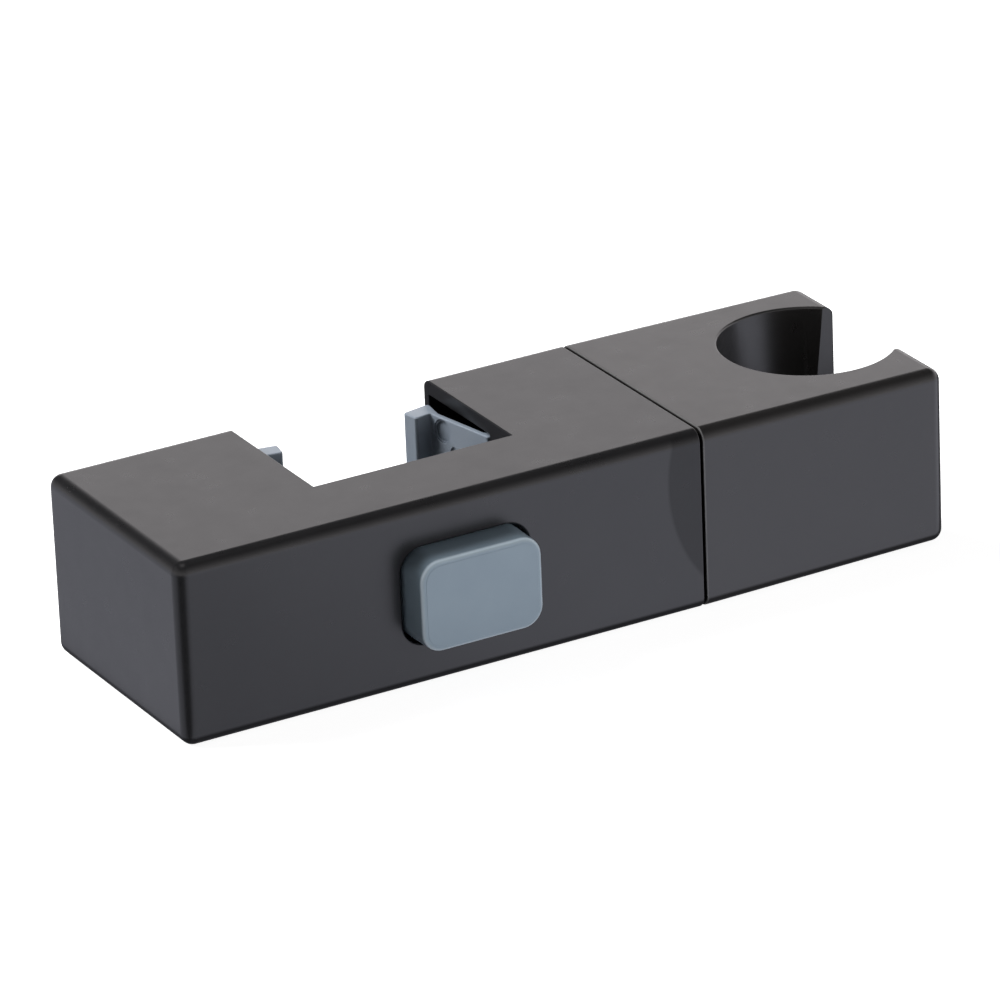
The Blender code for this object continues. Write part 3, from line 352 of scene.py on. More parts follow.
FRICTION_RADIUS = (FRICTION_HIGH.z - FRICTION_LOW.z) / 2


# Outlines

def arc(centre, radius, start, end, steps):
    """Points of an arc between two angles, both ends included."""
    angles = [start + (end - start) * step / steps for step in range(steps + 1)]
    return [(centre[0] + radius * cos(a), centre[1] + radius * sin(a)) for a in angles]


def circle(centre, radius, steps=SMALL_STEPS):
    return arc(centre, radius, 0.0, 2 * pi, steps)[:-1]


def rounded(corners, steps=CORNER_STEPS):
    """A closed outline from (x, y, radius) corners, each rounded to its own radius."""
    result = []
    for index, (x, y, radius) in enumerate(corners):
        corner = Vector((x, y))
        if radius == 0.0:
            result.append((x, y))
            continue
        before = (Vector(corners[index - 1][:2]) - corner).normalized()
        after = (Vector(corners[(index + 1) % len(corners)][:2]) - corner).normalized()
        half = before.angle(after) / 2
        centre = corner + (before + after).normalized() * radius / sin(half)
        first = corner + before * radius / tan(half) - centre
        last = corner + after * radius / tan(half) - centre
        start = atan2(first.y, first.x)
        sweep = atan2(first.x * last.y - first.y * last.x, first.dot(last))
        result += arc(centre, radius, start, start + sweep, steps)
    return result


def corners_of(low, high):
    return ((low[0], low[1]), (high[0], low[1]), (high[0], high[1]), (low[0], high[1]))


def rectangle(low, high, radius):
    return rounded([(x, y, radius) for x, y in corners_of(low, high)])


def button_outline(half_width, half_height, radius):
    """A rounded rectangle in X and Z about the button's middle."""
    return rectangle((X_MID - half_width, -half_height), (X_MID + half_width, half_height), radius)


def counter_clockwise(points):
    area = sum(a[0] * b[1] - b[0] * a[1] for a, b in zip(points, points[1:] + points[:1]))
    return points if area > 0 else points[::-1]


def grown(points, distance):
    """A counter-clockwise outline moved outwards by a distance."""
    result = []
    for index, point in enumerate(points):
        before = Vector(point) - Vector(points[index - 1])
        after = Vector(points[(index + 1) % len(points)]) - Vector(point)
        first = Vector((before.y, -before.x)).normalized()
        second = Vector((after.y, -after.x)).normalized()
        move = (first + second) / (1 + first.dot(second)) * distance
        result.append((point[0] + move.x, point[1] + move.y))
    return result


def clamp_outline(inset):
    """The U of the clamp's cavity, drawn in by an inset."""
    left = X_LEFT + SIDE_WALL + inset
    right = X_WALL_INSIDE - inset
    front = Y_FRONT_INSIDE + inset
    back = Y_BACK - REAR_WALL - inset
    notch_left = X_NOTCH_LEFT - SIDE_WALL - inset
    notch_right = X_NOTCH_RIGHT + SIDE_WALL + inset
    notch_front = Y_CHANNEL_END - inset
    corners = (
        (left, front),
        (right, front),
        (right, back),
        (notch_right, back),
        (notch_right, notch_front),
        (notch_left, notch_front),
        (notch_left, back),
        (left, back),
    )
    return rounded([(x, y, CAVITY_CORNER) for x, y in corners])


# Levels: pairs of a height and how far the outline is grown there

def rim_levels(edge, rim, way, steps=RIM_STEPS):
    """Levels round an edge: way is 1 where the solid or the hole lies above it, and -1 below."""
    angles = [pi / 2 * step / steps for step in range(steps + 1)]
    return [(edge + way * rim * (1 - cos(a)), rim * (1 - sin(a))) for a in angles]


def hole_levels(low, high, low_rim=0.0, high_rim=0.0, blind=False):
    """Levels of a cutter, with a rounded rim where the hole comes out."""
    levels = [(low - OVERCUT, low_rim)]
    if low_rim:
        levels += rim_levels(low, low_rim, 1)
    if high_rim:
        levels += rim_levels(high, high_rim, -1)[::-1]
    levels.append((high, 0.0) if blind else (high + OVERCUT, high_rim))
    return levels


def body_levels(low, high, rim):
    """Levels of a solid whose two ends have rounded edges."""
    ends = rim_levels(low, rim, 1) + rim_levels(high, rim, -1)[::-1]
    return [(height, -growth) for height, growth in ends]


# Meshes

def put(name, shape):
    mesh = bpy.data.meshes.new(name)
    shape.to_mesh(mesh)
    shape.free()
    obj = bpy.data.objects.new(name, mesh)
    bpy.context.scene.collection.objects.link(obj)
    return obj


def put_solid(name, shape):
    """An object from a closed shape, in triangles that face outwards."""
    bmesh.ops.recalc_face_normals(shape, faces=shape.faces)
    bmesh.ops.triangulate(shape, faces=shape.faces)
    return put(name, shape)


def loft(name, rings, turn=Matrix()):
    """A closed solid through rings of points, all with the same count."""
    shape = bmesh.new()
    rows = [[shape.verts.new(turn @ Vector(point)) for point in ring] for ring in rings]
    count = len(rows[0])
    for lower, upper in zip(rows, rows[1:]):
        for index in range(count):
            after = (index + 1) % count
            shape.faces.new((lower[index], lower[after], upper[after], upper[index]))
    shape.faces.new(rows[0][::-1])
    shape.faces.new(rows[-1])
    return put_solid(name, shape)


def prism(name, points, levels, turn=Matrix()):
    """An outline carried through levels."""
    points = counter_clockwise(list(points))
    rings = [[(x, y, height) for x, y in grown(points, growth)] for height, growth in levels]
    return loft(name, rings, turn)


def block(name, low, high):
    return prism(name, corners_of(low, high), ((low[2], 0.0), (high[2], 0.0)))


def plain_rings(profile, steps=SMALL_STEPS):
    """Round rings about Z, through the (radius, height) points of a profile."""
    return [[(x, y, height) for x, y in circle((0.0, 0.0), radius, steps)] for radius, height in profile]


def lathe(name, profile, turn=Matrix(), steps=ROUND_STEPS):
    """A solid of revolution, from one end of a profile to the other."""
    return loft(name, plain_rings(profile, steps), turn)


def bar(name, radius, start, end, end_radius=None, steps=SMALL_STEPS):
    """A round bar, or a cone, between two points."""
    start = Vector(start)
    along = Vector(end) - start
    turn = Matrix.Translation(start) @ along.to_track_quat("Z", "Y").to_matrix().to_4x4()
    profile = ((radius, 0.0), (radius if end_radius is None else end_radius, along.length))
    return lathe(name, profile, turn, steps)


def pillar(name, radius, x, y, low, high, **more):
    """A round bar that stands upright."""
    return bar(name, radius, (x, y, low), (x, y, high), **more)


def axis_bar(name, radius, start, end):
    """A round bar on the swivel's axis, between two places along X."""
    return bar(name, radius, (start, Y_MID, Z_MID), (end, Y_MID, Z_MID))


def along_x(x):
    """Turns a shape drawn along Z to run along X on the swivel's axis, from x."""
    return Matrix.Translation((x, Y_MID, Z_MID)) @ Matrix.Rotation(radians(90), 4, "Y")


def side_turn():
    """Turns an outline drawn in Y and Z to have its height along X."""
    return Matrix(((0, 0, 1, 0), (1, 0, 0, 0), (0, 1, 0, 0), (0, 0, 0, 1)))


def along_y(x=0.0):
    """Turns an outline drawn in X and Z, from the middle height, to have its height along -Y."""
    return Matrix.Translation((x, 0.0, Z_MID)) @ Matrix.Rotation(radians(90), 4, "X")


def combine(obj, steps):
    """Cuts and joins other solids in order, and keeps only the resulting mesh."""
    pairs = [(operation, other) for operation, others in steps for other in others]
    for operation, other in pairs:
        modifier = obj.modifiers.new(other.name, "BOOLEAN")
        modifier.operation = operation
        modifier.solver = "MANIFOLD"
        modifier.object = other
        other.hide_render = True
    bpy.context.view_layer.update()
    graph = bpy.context.evaluated_depsgraph_get()
    mesh = bpy.data.meshes.new_from_object(obj.evaluated_get(graph))
    shape = bmesh.new()
    shape.from_mesh(mesh)
    bmesh.ops.remove_doubles(shape, verts=shape.verts, dist=WELD)
    shape.to_mesh(mesh)
    shape.free()
    obj.modifiers.clear()
    obj.data = mesh
    for _, other in pairs:
        bpy.data.objects.remove(other, do_unlink=True)
    return obj


def paint(obj, look):
    obj.data.materials.clear()
    obj.data.materials.append(look)


def finish_piece(obj, look, body, node):
    """Smooth shading, finish, body, and the node that the piece stands for. A piece given no body is left
    unattached.
    """
    obj.data.name = obj.name
    obj.data.shade_smooth()
    obj.data.set_sharp_from_angle(angle=SMOOTH_ANGLE)
    weighted = obj.modifiers.new("even_shading", "WEIGHTED_NORMAL")
    weighted.keep_sharp = True
    if body is not None:
        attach(obj, body)
    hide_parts(node)
    paint(obj, look)


# Clamp

def rounded_block(name, low, high, end, shrink_y=0.0, shrink_z=0.0):
    """A block with every edge rounded, its end at the seam only finely, and its far end drawn in."""
    low = Vector(low)
    high = Vector(high)
    middle = (low + high) / 2
    shape = bmesh.new()
    bmesh.ops.create_cube(shape, size=1.0)
    size = Matrix.Diagonal((*(high - low), 1.0))
    bmesh.ops.transform(shape, matrix=Matrix.Translation(middle) @ size, verts=shape.verts)
    for vert in shape.verts:
        if abs(vert.co.x - end) > SINK:
            vert.co.y -= copysign(shrink_y, vert.co.y - middle.y)
            vert.co.z -= copysign(shrink_z, vert.co.z - middle.z)

    def at_seam(edge):
        return all(abs(vert.co.x - end) < NEAR for vert in edge.verts)

    roundings = ((False, EDGE_RADIUS, EDGE_STEPS), (True, SEAM_RIM, RIM_STEPS))
    for edges_at_seam, radius, segments in roundings:
        bmesh.ops.bevel(
            shape,
            geom=[edge for edge in shape.edges if at_seam(edge) == edges_at_seam],
            offset=radius,
            offset_type="OFFSET",
            segments=segments,
            profile=ROUND_PROFILE,
            affect="EDGES",
            clamp_overlap=True,
        )
    return put_solid(name, shape)


def mouth(left, right, front, back, rim):
    """An outline that opens at the back, where its two edges are rounded outwards."""
    turn_right = arc((right + rim, back - rim), rim, pi, pi / 2, RIM_STEPS)
    turn_left = arc((left - rim, back - rim), rim, pi / 2, 0.0, RIM_STEPS)
    outer = [(right + rim, back + OVERCUT), (left - rim, back + OVERCUT)]
    return [(left, front), (right, front)] + turn_right + outer + turn_left


def pivot_x(side):
    low, high = PIN_BOXES[side]
    return (low.x + high.x) / 2


def spring_x(side):
    low, high = SPRING_BOXES[side]
    return (low.x + high.x) / 2


def housing_openings():
    notch = mouth(X_NOTCH_LEFT, X_NOTCH_RIGHT, Y_NOTCH, Y_BACK, NOTCH_RIM)
    made = [prism("notch", notch, hole_levels(0.0, HEIGHT, NOTCH_RIM, NOTCH_RIM))]
    levels = hole_levels(0.0, Z_CEILING, low_rim=COVER_RIM, blind=True)
    made.append(prism("cavity", clamp_outline(0.0), levels))
    window = rectangle((Y_WINDOW, COVER_THICKNESS), (Y_BACK - REAR_WALL, Z_CEILING), WINDOW_RIM)
    right = hole_levels(X_NOTCH_RIGHT, X_NOTCH_RIGHT + SIDE_WALL, low_rim=WINDOW_RIM)
    left = hole_levels(X_NOTCH_LEFT - SIDE_WALL, X_NOTCH_LEFT, high_rim=WINDOW_RIM)
    made += [prism("window", window, levels, side_turn()) for levels in (right, left)]
    half_width = BUTTON_HALF_WIDTH + BUTTON_SIDE_GAP
    hole = button_outline(half_width, HOLE_HALF_HEIGHT, BUTTON_CORNER + BUTTON_END_GAP)
    levels = hole_levels(-Y_FRONT_INSIDE, -Y_FRONT, high_rim=BUTTON_RIM)
    made.append(prism("button_hole", hole, levels, along_y()))
    end = X_CLAMP_END + OVERCUT
    made.append(axis_bar("swivel_hole", BUSH_RADIUS + FIT, X_WALL_INSIDE - OVERCUT, end))
    made.append(axis_bar("counterbore", FRICTION_RADIUS + FIT, X_COUNTERBORE, end))
    return made


def housing_bosses():
    """Columns for the cover's screws with their ribs, seats for the pins and studs for the springs."""
    made = []
    high = Z_CEILING + SINK
    low = COVER_THICKNESS + FIT
    half = RIB_WALL / 2
    for x, y in SCREW_PLACES:
        made.append(pillar("screw_boss", SCREW_HOLE + SCREW_BOSS_WALL, x, y, low, high))
        wall_x = X_LEFT + SIDE_WALL - SINK if x < X_MID else X_WALL_INSIDE + SINK
        wall_y = Y_FRONT_INSIDE - SINK if y < Y_MID else Y_BACK - REAR_WALL + SINK
        ends = sorted((x, wall_x))
        made.append(block("rib", (ends[0], y - half, low + RIB_WALL), (ends[1], y + half, high)))
        ends = sorted((y, wall_y))
        made.append(block("rib", (x - half, ends[0], low + RIB_WALL), (x + half, ends[1], high)))
    for side in (-1, 1):
        foot = Z_CEILING - PIN_BOSS_HEIGHT
        made.append(pillar("pin_boss", PIN_BOSS_RADIUS, pivot_x(side), Y_PIVOT, foot, high))
        tip = (spring_x(side), Y_CHANNEL_END - WALL_STUD, Z_MID)
        made.append(bar("stud", STUD_RADIUS, tip, (spring_x(side), Y_CHANNEL_END + SINK, Z_MID)))
    return made


def housing_ribs():
    low = Z_CEILING - RIB_DEPTH
    high = Z_CEILING + SINK
    front = Y_FRONT_INSIDE - SINK
    back = Y_BACK - REAR_WALL + SINK
    made = []
    for step in ARM_RIBS:
        x = X_LEFT + step * RIB_SPACING
        made.append(block("arm_rib", (x, front, low), (x + RIB_WALL, back, high)))
    clear = max(BUSH_FLANGE, (SWIVEL_WASHER_HIGH.z - SWIVEL_WASHER_LOW.z) / 2)
    low = Z_MID + clear + 2 * FIT
    for side in (-1, 1):
        y = Y_MID + side * RIB_SPACING
        start = (SWIVEL_WASHER_LOW.x, y - RIB_WALL / 2, low)
        made.append(block("swivel_rib", start, (X_WALL_INSIDE + SINK, y + RIB_WALL / 2, high)))
    return made


def housing_bores():
    made = []
    for (x, y), (_, high) in zip(SCREW_PLACES, SCREW_BOXES):
        made.append(pillar("screw_bore", SCREW_HOLE, x, y, 0.0, high.z + 2 * FIT))
    low = Z_CEILING - PIN_BOSS_HEIGHT - OVERCUT
    for side in (-1, 1):
        made.append(pillar("pin_bore", PIN_HOLE, pivot_x(side), Y_PIVOT, low, HEIGHT - PIN_SKIN))
    return made


def make_housing(look):
    low = (X_LEFT, Y_FRONT, 0.0)
    housing = rounded_block("clamp_shell", low, (X_CLAMP_END, Y_BACK, HEIGHT), X_CLAMP_END)
    combine(
        housing,
        (
            ("DIFFERENCE", housing_openings()),
            ("UNION", housing_bosses() + housing_ribs()),
            ("DIFFERENCE", housing_bores()),
        ),
    )
    finish_piece(housing, look, "clamp", "housing")


def make_cover(look):
    levels = body_levels(0.0, COVER_THICKNESS, COVER_RIM)
    cover = prism("base_plate", clamp_outline(FIT), levels)
    top = COVER_THICKNESS + PIN_BOSS_HEIGHT
    bosses = []
    bores = []
    for side in (-1, 1):
        place = (pivot_x(side), Y_PIVOT)
        bosses.append(pillar("cover_boss", PIN_BOSS_RADIUS, *place, COVER_THICKNESS - SINK, top))
        bores.append(pillar("cover_bore", PIN_HOLE, *place, PIN_SKIN, top + OVERCUT))
    wide = SCREW_HEAD_RADIUS + FIT
    slope = (wide - SCREW_HOLE) / SCREW_HEAD_HEIGHT
    seat = SCREW_SINK + SCREW_HEAD_HEIGHT
    for x, y in SCREW_PLACES:
        low = SCREW_SINK - OVERCUT
        cone = wide + slope * OVERCUT
        bores.append(pillar("countersink", cone, x, y, low, seat, end_radius=SCREW_HOLE))
        bores.append(pillar("cover_hole", SCREW_HOLE, x, y, seat - SINK, COVER_THICKNESS + OVERCUT))
    combine(cover, (("UNION", bosses), ("DIFFERENCE", bores)))
    finish_piece(cover, look, "clamp", "bottom_cover")


# Screws

def cross_recess(name, turn, width, reach, depth):
    """A cross-shaped cutter that narrows with its depth, at the start of a screw drawn along Z."""
    half = width / 2
    corners = []
    for step in range(4):
        spin = Matrix.Rotation(radians(90 * step), 2)
        for x, y in ((reach, -half), (reach, half), (half, half)):
            point = spin @ Vector((x, y))
            corners.append((point.x, point.y))
    return prism(name, corners, ((-OVERCUT, 0.0), (depth / 3, 0.0), (depth, -half / 3)), turn)


def thread_rings(core, crest, pitch, low, high, point):
    """Rings of a threaded shank along Z, whose ridge climbs once round for each pitch."""
    count = ceil((high - low) / pitch * THREAD_STEPS)
    rings = []
    for row in range(count + 1):
        height = low + (high - low) * row / count
        taper = min(1.0, (high - height) / point)
        run_out = min(1.0, (height - low) / pitch)
        ring = []
        for step in range(SMALL_STEPS):
            turn = step / SMALL_STEPS
            phase = (height / pitch - turn) % 1.0
            ridge = max(0.0, 1 - abs(phase - 0.5) * THREAD_SHARPNESS) * run_out
            radius = (core + (crest - core) * ridge) * (POINT_SHARE + (1 - POINT_SHARE) * taper)
            angle = 2 * pi * turn
            ring.append((radius * cos(angle), radius * sin(angle), height))
        rings.append(ring)
    return rings


def make_cover_screws(look):
    for number, ((x, y), (_, high)) in enumerate(zip(SCREW_PLACES, SCREW_BOXES), start=1):
        seat = SCREW_SINK + SCREW_HEAD_HEIGHT
        edge = RECESS_WIDTH / 3
        profile = (
            (SCREW_HEAD_RADIUS - edge / 2, SCREW_SINK),
            (SCREW_HEAD_RADIUS, SCREW_SINK + edge / 2),
            (SCREW_RADIUS, seat),
            (SCREW_CORE, seat + edge),
        )
        low = seat + 2 * edge
        shank = thread_rings(SCREW_CORE, SCREW_RADIUS, SCREW_PITCH, low, high.z, SCREW_POINT)
        turn = Matrix.Translation((x, y, 0.0))
        screw = loft(f"countersunk_screw_{number}", plain_rings(profile) + shank, turn)
        depth = SCREW_SINK + RECESS_DEPTH
        recess = cross_recess("recess", turn, RECESS_WIDTH, RECESS_REACH, depth)
        combine(screw, (("DIFFERENCE", [recess]),))
        finish_piece(screw, look, "clamp", f"cover_screw_{number}")


def make_swivel_screw(look):
    head = (SWIVEL_SCREW_HIGH.z - SWIVEL_SCREW_LOW.z) / 2
    length = SWIVEL_SCREW_HIGH.x - SWIVEL_SCREW_LOW.x
    seat = SWIVEL_SCREW_HEAD
    centre = (head - SWIVEL_SCREW_DOME, SWIVEL_SCREW_DOME)
    dome = arc(centre, SWIVEL_SCREW_DOME, -pi / 2, 0.0, RIM_STEPS)
    radius = SWIVEL_SCREW_RADIUS
    core = SWIVEL_SCREW_CORE
    pitch = SWIVEL_SCREW_PITCH
    plain_end = length - SWIVEL_THREAD
    profile = dome + [(head, seat), (radius, seat), (radius, plain_end)]
    shank = thread_rings(core, radius, pitch, plain_end + (radius - core), length, pitch)
    turn = along_x(SWIVEL_SCREW_LOW.x)
    screw = loft("pan_head_screw", plain_rings(profile) + shank, turn)
    recess = cross_recess("recess", turn, SWIVEL_RECESS_WIDTH, SWIVEL_RECESS_REACH, SWIVEL_RECESS_DEPTH)
    combine(screw, (("DIFFERENCE", [recess]),))
    finish_piece(screw, look, "head", "swivel_screw")


# Button

def make_button(look):
    """A cap with softly rounded edges and a shallow field in its face, open at the back."""
    half_width = BUTTON_HALF_WIDTH
    half_height = HOLE_HALF_HEIGHT - BUTTON_END_GAP
    front = -BUTTON_LOW.y
    points = button_outline(half_width, half_height, BUTTON_CORNER)
    rim = rim_levels(front - FIELD_STEP, BUTTON_EDGE, -1, 2 * RIM_STEPS)[::-1]
    edge = [(height, -BUTTON_TAPER - growth) for height, growth in rim]
    inset = BUTTON_TAPER + BUTTON_EDGE + FIELD_BORDER
    field = [
        (front - FIELD_STEP, -inset),
        (front - FIELD_STEP / 4, -inset - FIELD_STEP / 2),
        (front, -inset - 2 * FIELD_STEP),
    ]
    button = prism("push_button", points, [(-Y_SKIRT, 0.0)] + edge + field, along_y())

    bottom = front - BUTTON_WALL
    inner = button_outline(
        half_width - BUTTON_WALL,
        half_height - BUTTON_WALL,
        BUTTON_CORNER - BUTTON_WALL,
    )
    levels = hole_levels(-Y_SKIRT, bottom, low_rim=COVER_RIM, blind=True)
    hollow = prism("button_hollow", inner, levels, along_y())
    added = []
    for side in (-1, 1):
        x = X_MID + side * POST_OFFSET
        round_end = arc((x, Y_POST - POST_RADIUS), POST_RADIUS, 0.0, pi, 2 * CORNER_STEPS)
        foot = -bottom - SINK
        post = [(x - POST_RADIUS, foot), (x + POST_RADIUS, foot)] + round_end
        ends = ((Z_MID - POST_HEIGHT / 2, 0.0), (Z_MID + POST_HEIGHT / 2, 0.0))
        added.append(prism("post", post, ends))
        near = Z_MID + side * (half_height - SINK)
        far = Z_MID + side * (HOLE_HALF_HEIGHT + BUTTON_LIP)
        low = (X_MID - LIP_WIDTH / 2, Y_LIP, min(near, far))
        added.append(block("lip", low, (X_MID + LIP_WIDTH / 2, Y_SKIRT, max(near, far))))
    reach = half_width - BUTTON_WALL + SINK
    low = (X_MID - reach, -bottom - SINK, Z_MID - RIB_WALL / 2)
    added.append(block("button_rib", low, (X_MID + reach, Y_FRONT, Z_MID + RIB_WALL / 2)))
    combine(button, (("DIFFERENCE", [hollow]), ("UNION", added)))
    finish_piece(button, look, "button", "release_button")


# Jaws

def jaw_frame():
    """The plate's own directions, from the pivot: along it to the hook, and out behind it."""
    out = Vector((cos(PLATE_ANGLE), sin(PLATE_ANGLE)))
    along = Vector((-out.y, out.x))
    shoulder = Y_WINDOW + FIT - Y_PIVOT
    start = Vector((-PIVOT_INSET - PLATE_PROUD, shoulder))
    length = (Y_BACK - HOOK_SETBACK - Y_PIVOT - shoulder) / cos(PLATE_ANGLE)
    return along, out, start, start + along * length


def jaw_wall():
    """The full-height wall of the right jaw: arm, shoulder, plate and hook, about its pivot."""
    along, out, start, root = jaw_frame()
    overlap = SHOULDER_WALL / 2
    tip = root - out * HOOK_REACH
    outer_back = root + along * HOOK_THICKNESS + out * HOOK_FLARE
    pocket_back = root + out * PLATE_WALL - along * overlap
    pocket_front = start + out * PLATE_WALL + along * SHOULDER_WALL
    corners = [
        (ARM_INNER, ARM_FRONT, 0.0),
        (ARM_INNER, start.y, SHOULDER_CORNER),
        (*start, HOOK_CORNER),
        (*root, JAW_RIM),
        (*tip, HOOK_CORNER),
        (*(tip + along * HOOK_THICKNESS), HOOK_CORNER),
        (*outer_back, HOOK_CORNER),
        (*pocket_back, 2 * JAW_RIM),
        (*pocket_front, 2 * JAW_RIM),
        (ARM_OUTER, start.y + SHOULDER_WALL, HOOK_CORNER),
        (ARM_OUTER, ARM_FRONT, 0.0),
    ]
    return rounded(corners)


def jaw_web():
    """The web that stiffens the wall at its middle height."""
    along, out, start, root = jaw_frame()
    half = PLATE_WALL / 2
    return [
        tuple(start + out * half + along * half),
        tuple(root + out * half + along * half),
        tuple(root + along * (HOOK_THICKNESS - half) + out * (HOOK_FLARE - half)),
        (ARM_OUTER - half, start.y + SHOULDER_WALL / 2),
    ]


def make_jaw(word, side, look):
    def mirrored(points):
        return [(pivot_x(side) + side * x, Y_PIVOT + y) for x, y in points]

    def level(centre, height):
        return ((centre - height / 2, 0.0), (centre + height / 2, 0.0))

    x = pivot_x(side)
    levels = body_levels(Z_JAW_LOW, Z_JAW_HIGH, JAW_RIM)
    jaw = prism(f"{word}_gripping_jaw", mirrored(jaw_wall()), levels)
    root_end = ARM_FRONT + SINK
    root = ((ARM_INNER, 0.0), (ARM_INNER, root_end), (ARM_OUTER, root_end), (ARM_OUTER, 0.0))
    front = Y_LEVER - Y_PIVOT
    rear = Y_LEVER_REAR - Y_PIVOT
    end = -(LEVER_REACH + LEVER_OVERHANG)
    corner = (LEVER_THICKNESS - LEVER_FLAT) / 2
    lever = rounded([(0.0, front, 0.0), (end, front, corner), (end, rear, corner), (0.0, rear, 0.0)])
    stud = (spring_x(side), Y_LEVER_REAR - SINK, Z_MID)
    added = [
        prism("web", mirrored(jaw_web()), level(Z_MID, WEB_HEIGHT)),
        pillar("jaw_boss", JAW_BOSS_RADIUS, x, Y_PIVOT, Z_BOSS_LOW, Z_BOSS_HIGH),
        prism("root", mirrored(root), ((Z_BOSS_LOW, 0.0), (Z_BOSS_HIGH, 0.0))),
        prism("lever", mirrored(lever), level(Z_MID, LEVER_HEIGHT)),
        bar("stud", STUD_RADIUS, stud, (spring_x(side), Y_LEVER_REAR + LEVER_STUD, Z_MID)),
    ]
    ends = (Z_BOSS_LOW - OVERCUT, Z_BOSS_HIGH + OVERCUT)
    cuts = [pillar("jaw_bore", PIN_HOLE, x, Y_PIVOT, *ends)]
    along, out, _, root_point = jaw_frame()
    marks = (
        (MARK_RIM, MARK_STEP, MARK_ALONG, MARK_DROP),
        (MARK_RADIUS, MARK_DEPTH, MARK_ALONG, MARK_DROP),
        (GATE_RADIUS, 2 * MARK_STEP, GATE_ALONG, GATE_DROP),
    )
    for radius, depth, back, drop in marks:
        middle = root_point - along * back
        places = mirrored([tuple(middle - out * OVERCUT), tuple(middle + out * depth)])
        cuts.append(bar("mark", radius, *((x, y, Z_JAW_HIGH - drop) for x, y in places)))
    combine(jaw, (("UNION", added), ("DIFFERENCE", cuts)))
    finish_piece(jaw, look, f"jaw_{word}", f"{word}_jaw")


def coil_rings(radius, wire, turns, low, high):
    """Rings of a wire that winds up along Z, with its first and last half turns nearly flat."""
    count = turns * COIL_STEPS
    flat = 1 / (2 * turns)
    rings = []
    for step in range(count + 1):
        share = step / count
        rise = min(1.0, max(0.0, (share - flat) / (1 - 2 * flat)))
        angle = 2 * pi * turns * share
        height = low + wire + (high - low - 2 * wire) * rise
        ring = []
        for x, z in circle((radius, height), wire, WIRE_STEPS):
            ring.append((x * cos(angle), x * sin(angle), z))
        rings.append(ring)
    return rings


def make_jaw_spring(word, side, look):
    """A coil whose end turns lie on the clamp's wall and on the jaw's lever."""
    low, high = SPRING_BOXES[side]
    radius = (high.z - low.z) / 2 - SPRING_WIRE
    rings = coil_rings(radius, SPRING_WIRE, SPRING_TURNS, -high.y, -low.y)
    spring = loft(f"{word}_return_spring", rings, along_y(spring_x(side)))
    finish_piece(spring, look, None, f"{word}_jaw_spring")
    wall_turn = (spring_x(side), high.y - 2 * SPRING_WIRE, Z_MID)
    lever_turn = (spring_x(side), low.y + 2 * SPRING_WIRE, Z_MID)
    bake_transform(spring)


# Head

def follow_draft(obj):
    """Draws a cutter in towards the head's far end as the head's own faces are."""
    for vert in obj.data.vertices:
        share = (vert.co.x - X_HEAD) / HEAD_LENGTH
        vert.co.z = Z_MID + (vert.co.z - Z_MID) * (1 - share * 2 * HEAD_DRAFT_Z / HEIGHT)
    return obj


def through_head():
    return hole_levels(0.0, HEIGHT, CRADLE_RIM, CRADLE_RIM)


def cradle_cutter():
    """The cone of the cradle, rounded where it comes out above and below."""
    slope = tan(CRADLE_TAPER)
    profile = [(CRADLE_RADIUS - slope * (HEIGHT - z) + growth, z) for z, growth in through_head()]
    turn = Matrix.Translation((X_CRADLE, Y_CRADLE, 0.0))
    return follow_draft(lathe("cradle", profile, turn, CRADLE_STEPS))


def slot_cutter():
    low = Y_CRADLE - SLOT_WIDTH / 2
    high = Y_CRADLE + SLOT_WIDTH / 2
    sideways = mouth(low, high, X_CRADLE, X_RIGHT, CRADLE_RIM)
    points = [(x, y) for y, x in sideways]
    return follow_draft(prism("slot", points, through_head()))


def head_core():
    """What is hollow in the head from below: all but its walls, ribs, cradle wall and boss."""
    core = block(
        "core",
        (X_HEAD + HEAD_WALL, Y_FRONT + HEAD_WALL, -OVERCUT),
        (X_RIGHT - HEAD_WALL, Y_BACK - HEAD_WALL, HEIGHT - HEAD_WALL),
    )
    low = -2 * OVERCUT
    sleeve = CRADLE_RADIUS + CRADLE_WALL
    half_slot = SLOT_WIDTH / 2 + CRADLE_WALL
    slot_end = (X_RIGHT, Y_CRADLE + half_slot, HEIGHT)
    screw_sleeve = SWIVEL_SCREW_HOLE + HEAD_WALL
    kept = [
        pillar("sleeve", sleeve, X_CRADLE, Y_CRADLE, low, HEIGHT, steps=ROUND_STEPS),
        block("slot_sleeve", (X_CRADLE, Y_CRADLE - half_slot, low), slot_end),
        axis_bar("screw_sleeve", screw_sleeve, X_HEAD, X_CRADLE - CRADLE_RADIUS),
    ]
    for offset in (-HEAD_RIB_OFFSET, 0.0, HEAD_RIB_OFFSET):
        start = (X_HEAD, Y_MID + offset - RIB_WALL / 2, 2 * OVERCUT)
        end = (X_CRADLE, Y_MID + offset + RIB_WALL / 2, HEIGHT)
        kept.append(block("head_rib", start, end))
    return combine(core, (("DIFFERENCE", kept),))


def make_head(look):
    low = (X_HEAD, Y_FRONT, 0.0)
    high = (X_RIGHT, Y_BACK, HEIGHT)
    head = rounded_block("cradle_head", low, high, X_HEAD, HEAD_DRAFT_Y, HEAD_DRAFT_Z)
    spindle = axis_bar("spindle", SPINDLE_RADIUS, X_SPINDLE_END, X_HEAD + SINK)
    bore_end = SWIVEL_SCREW_HIGH.x + 2 * FIT
    bore = axis_bar("screw_bore", SWIVEL_SCREW_HOLE, X_SPINDLE_END - OVERCUT, bore_end)
    combine(
        head,
        (
            ("DIFFERENCE", [head_core()]),
            ("UNION", [spindle]),
            ("DIFFERENCE", [cradle_cutter(), slot_cutter(), bore]),
        ),
    )
    finish_piece(head, look, "head", "swivel_head")


# Node trees

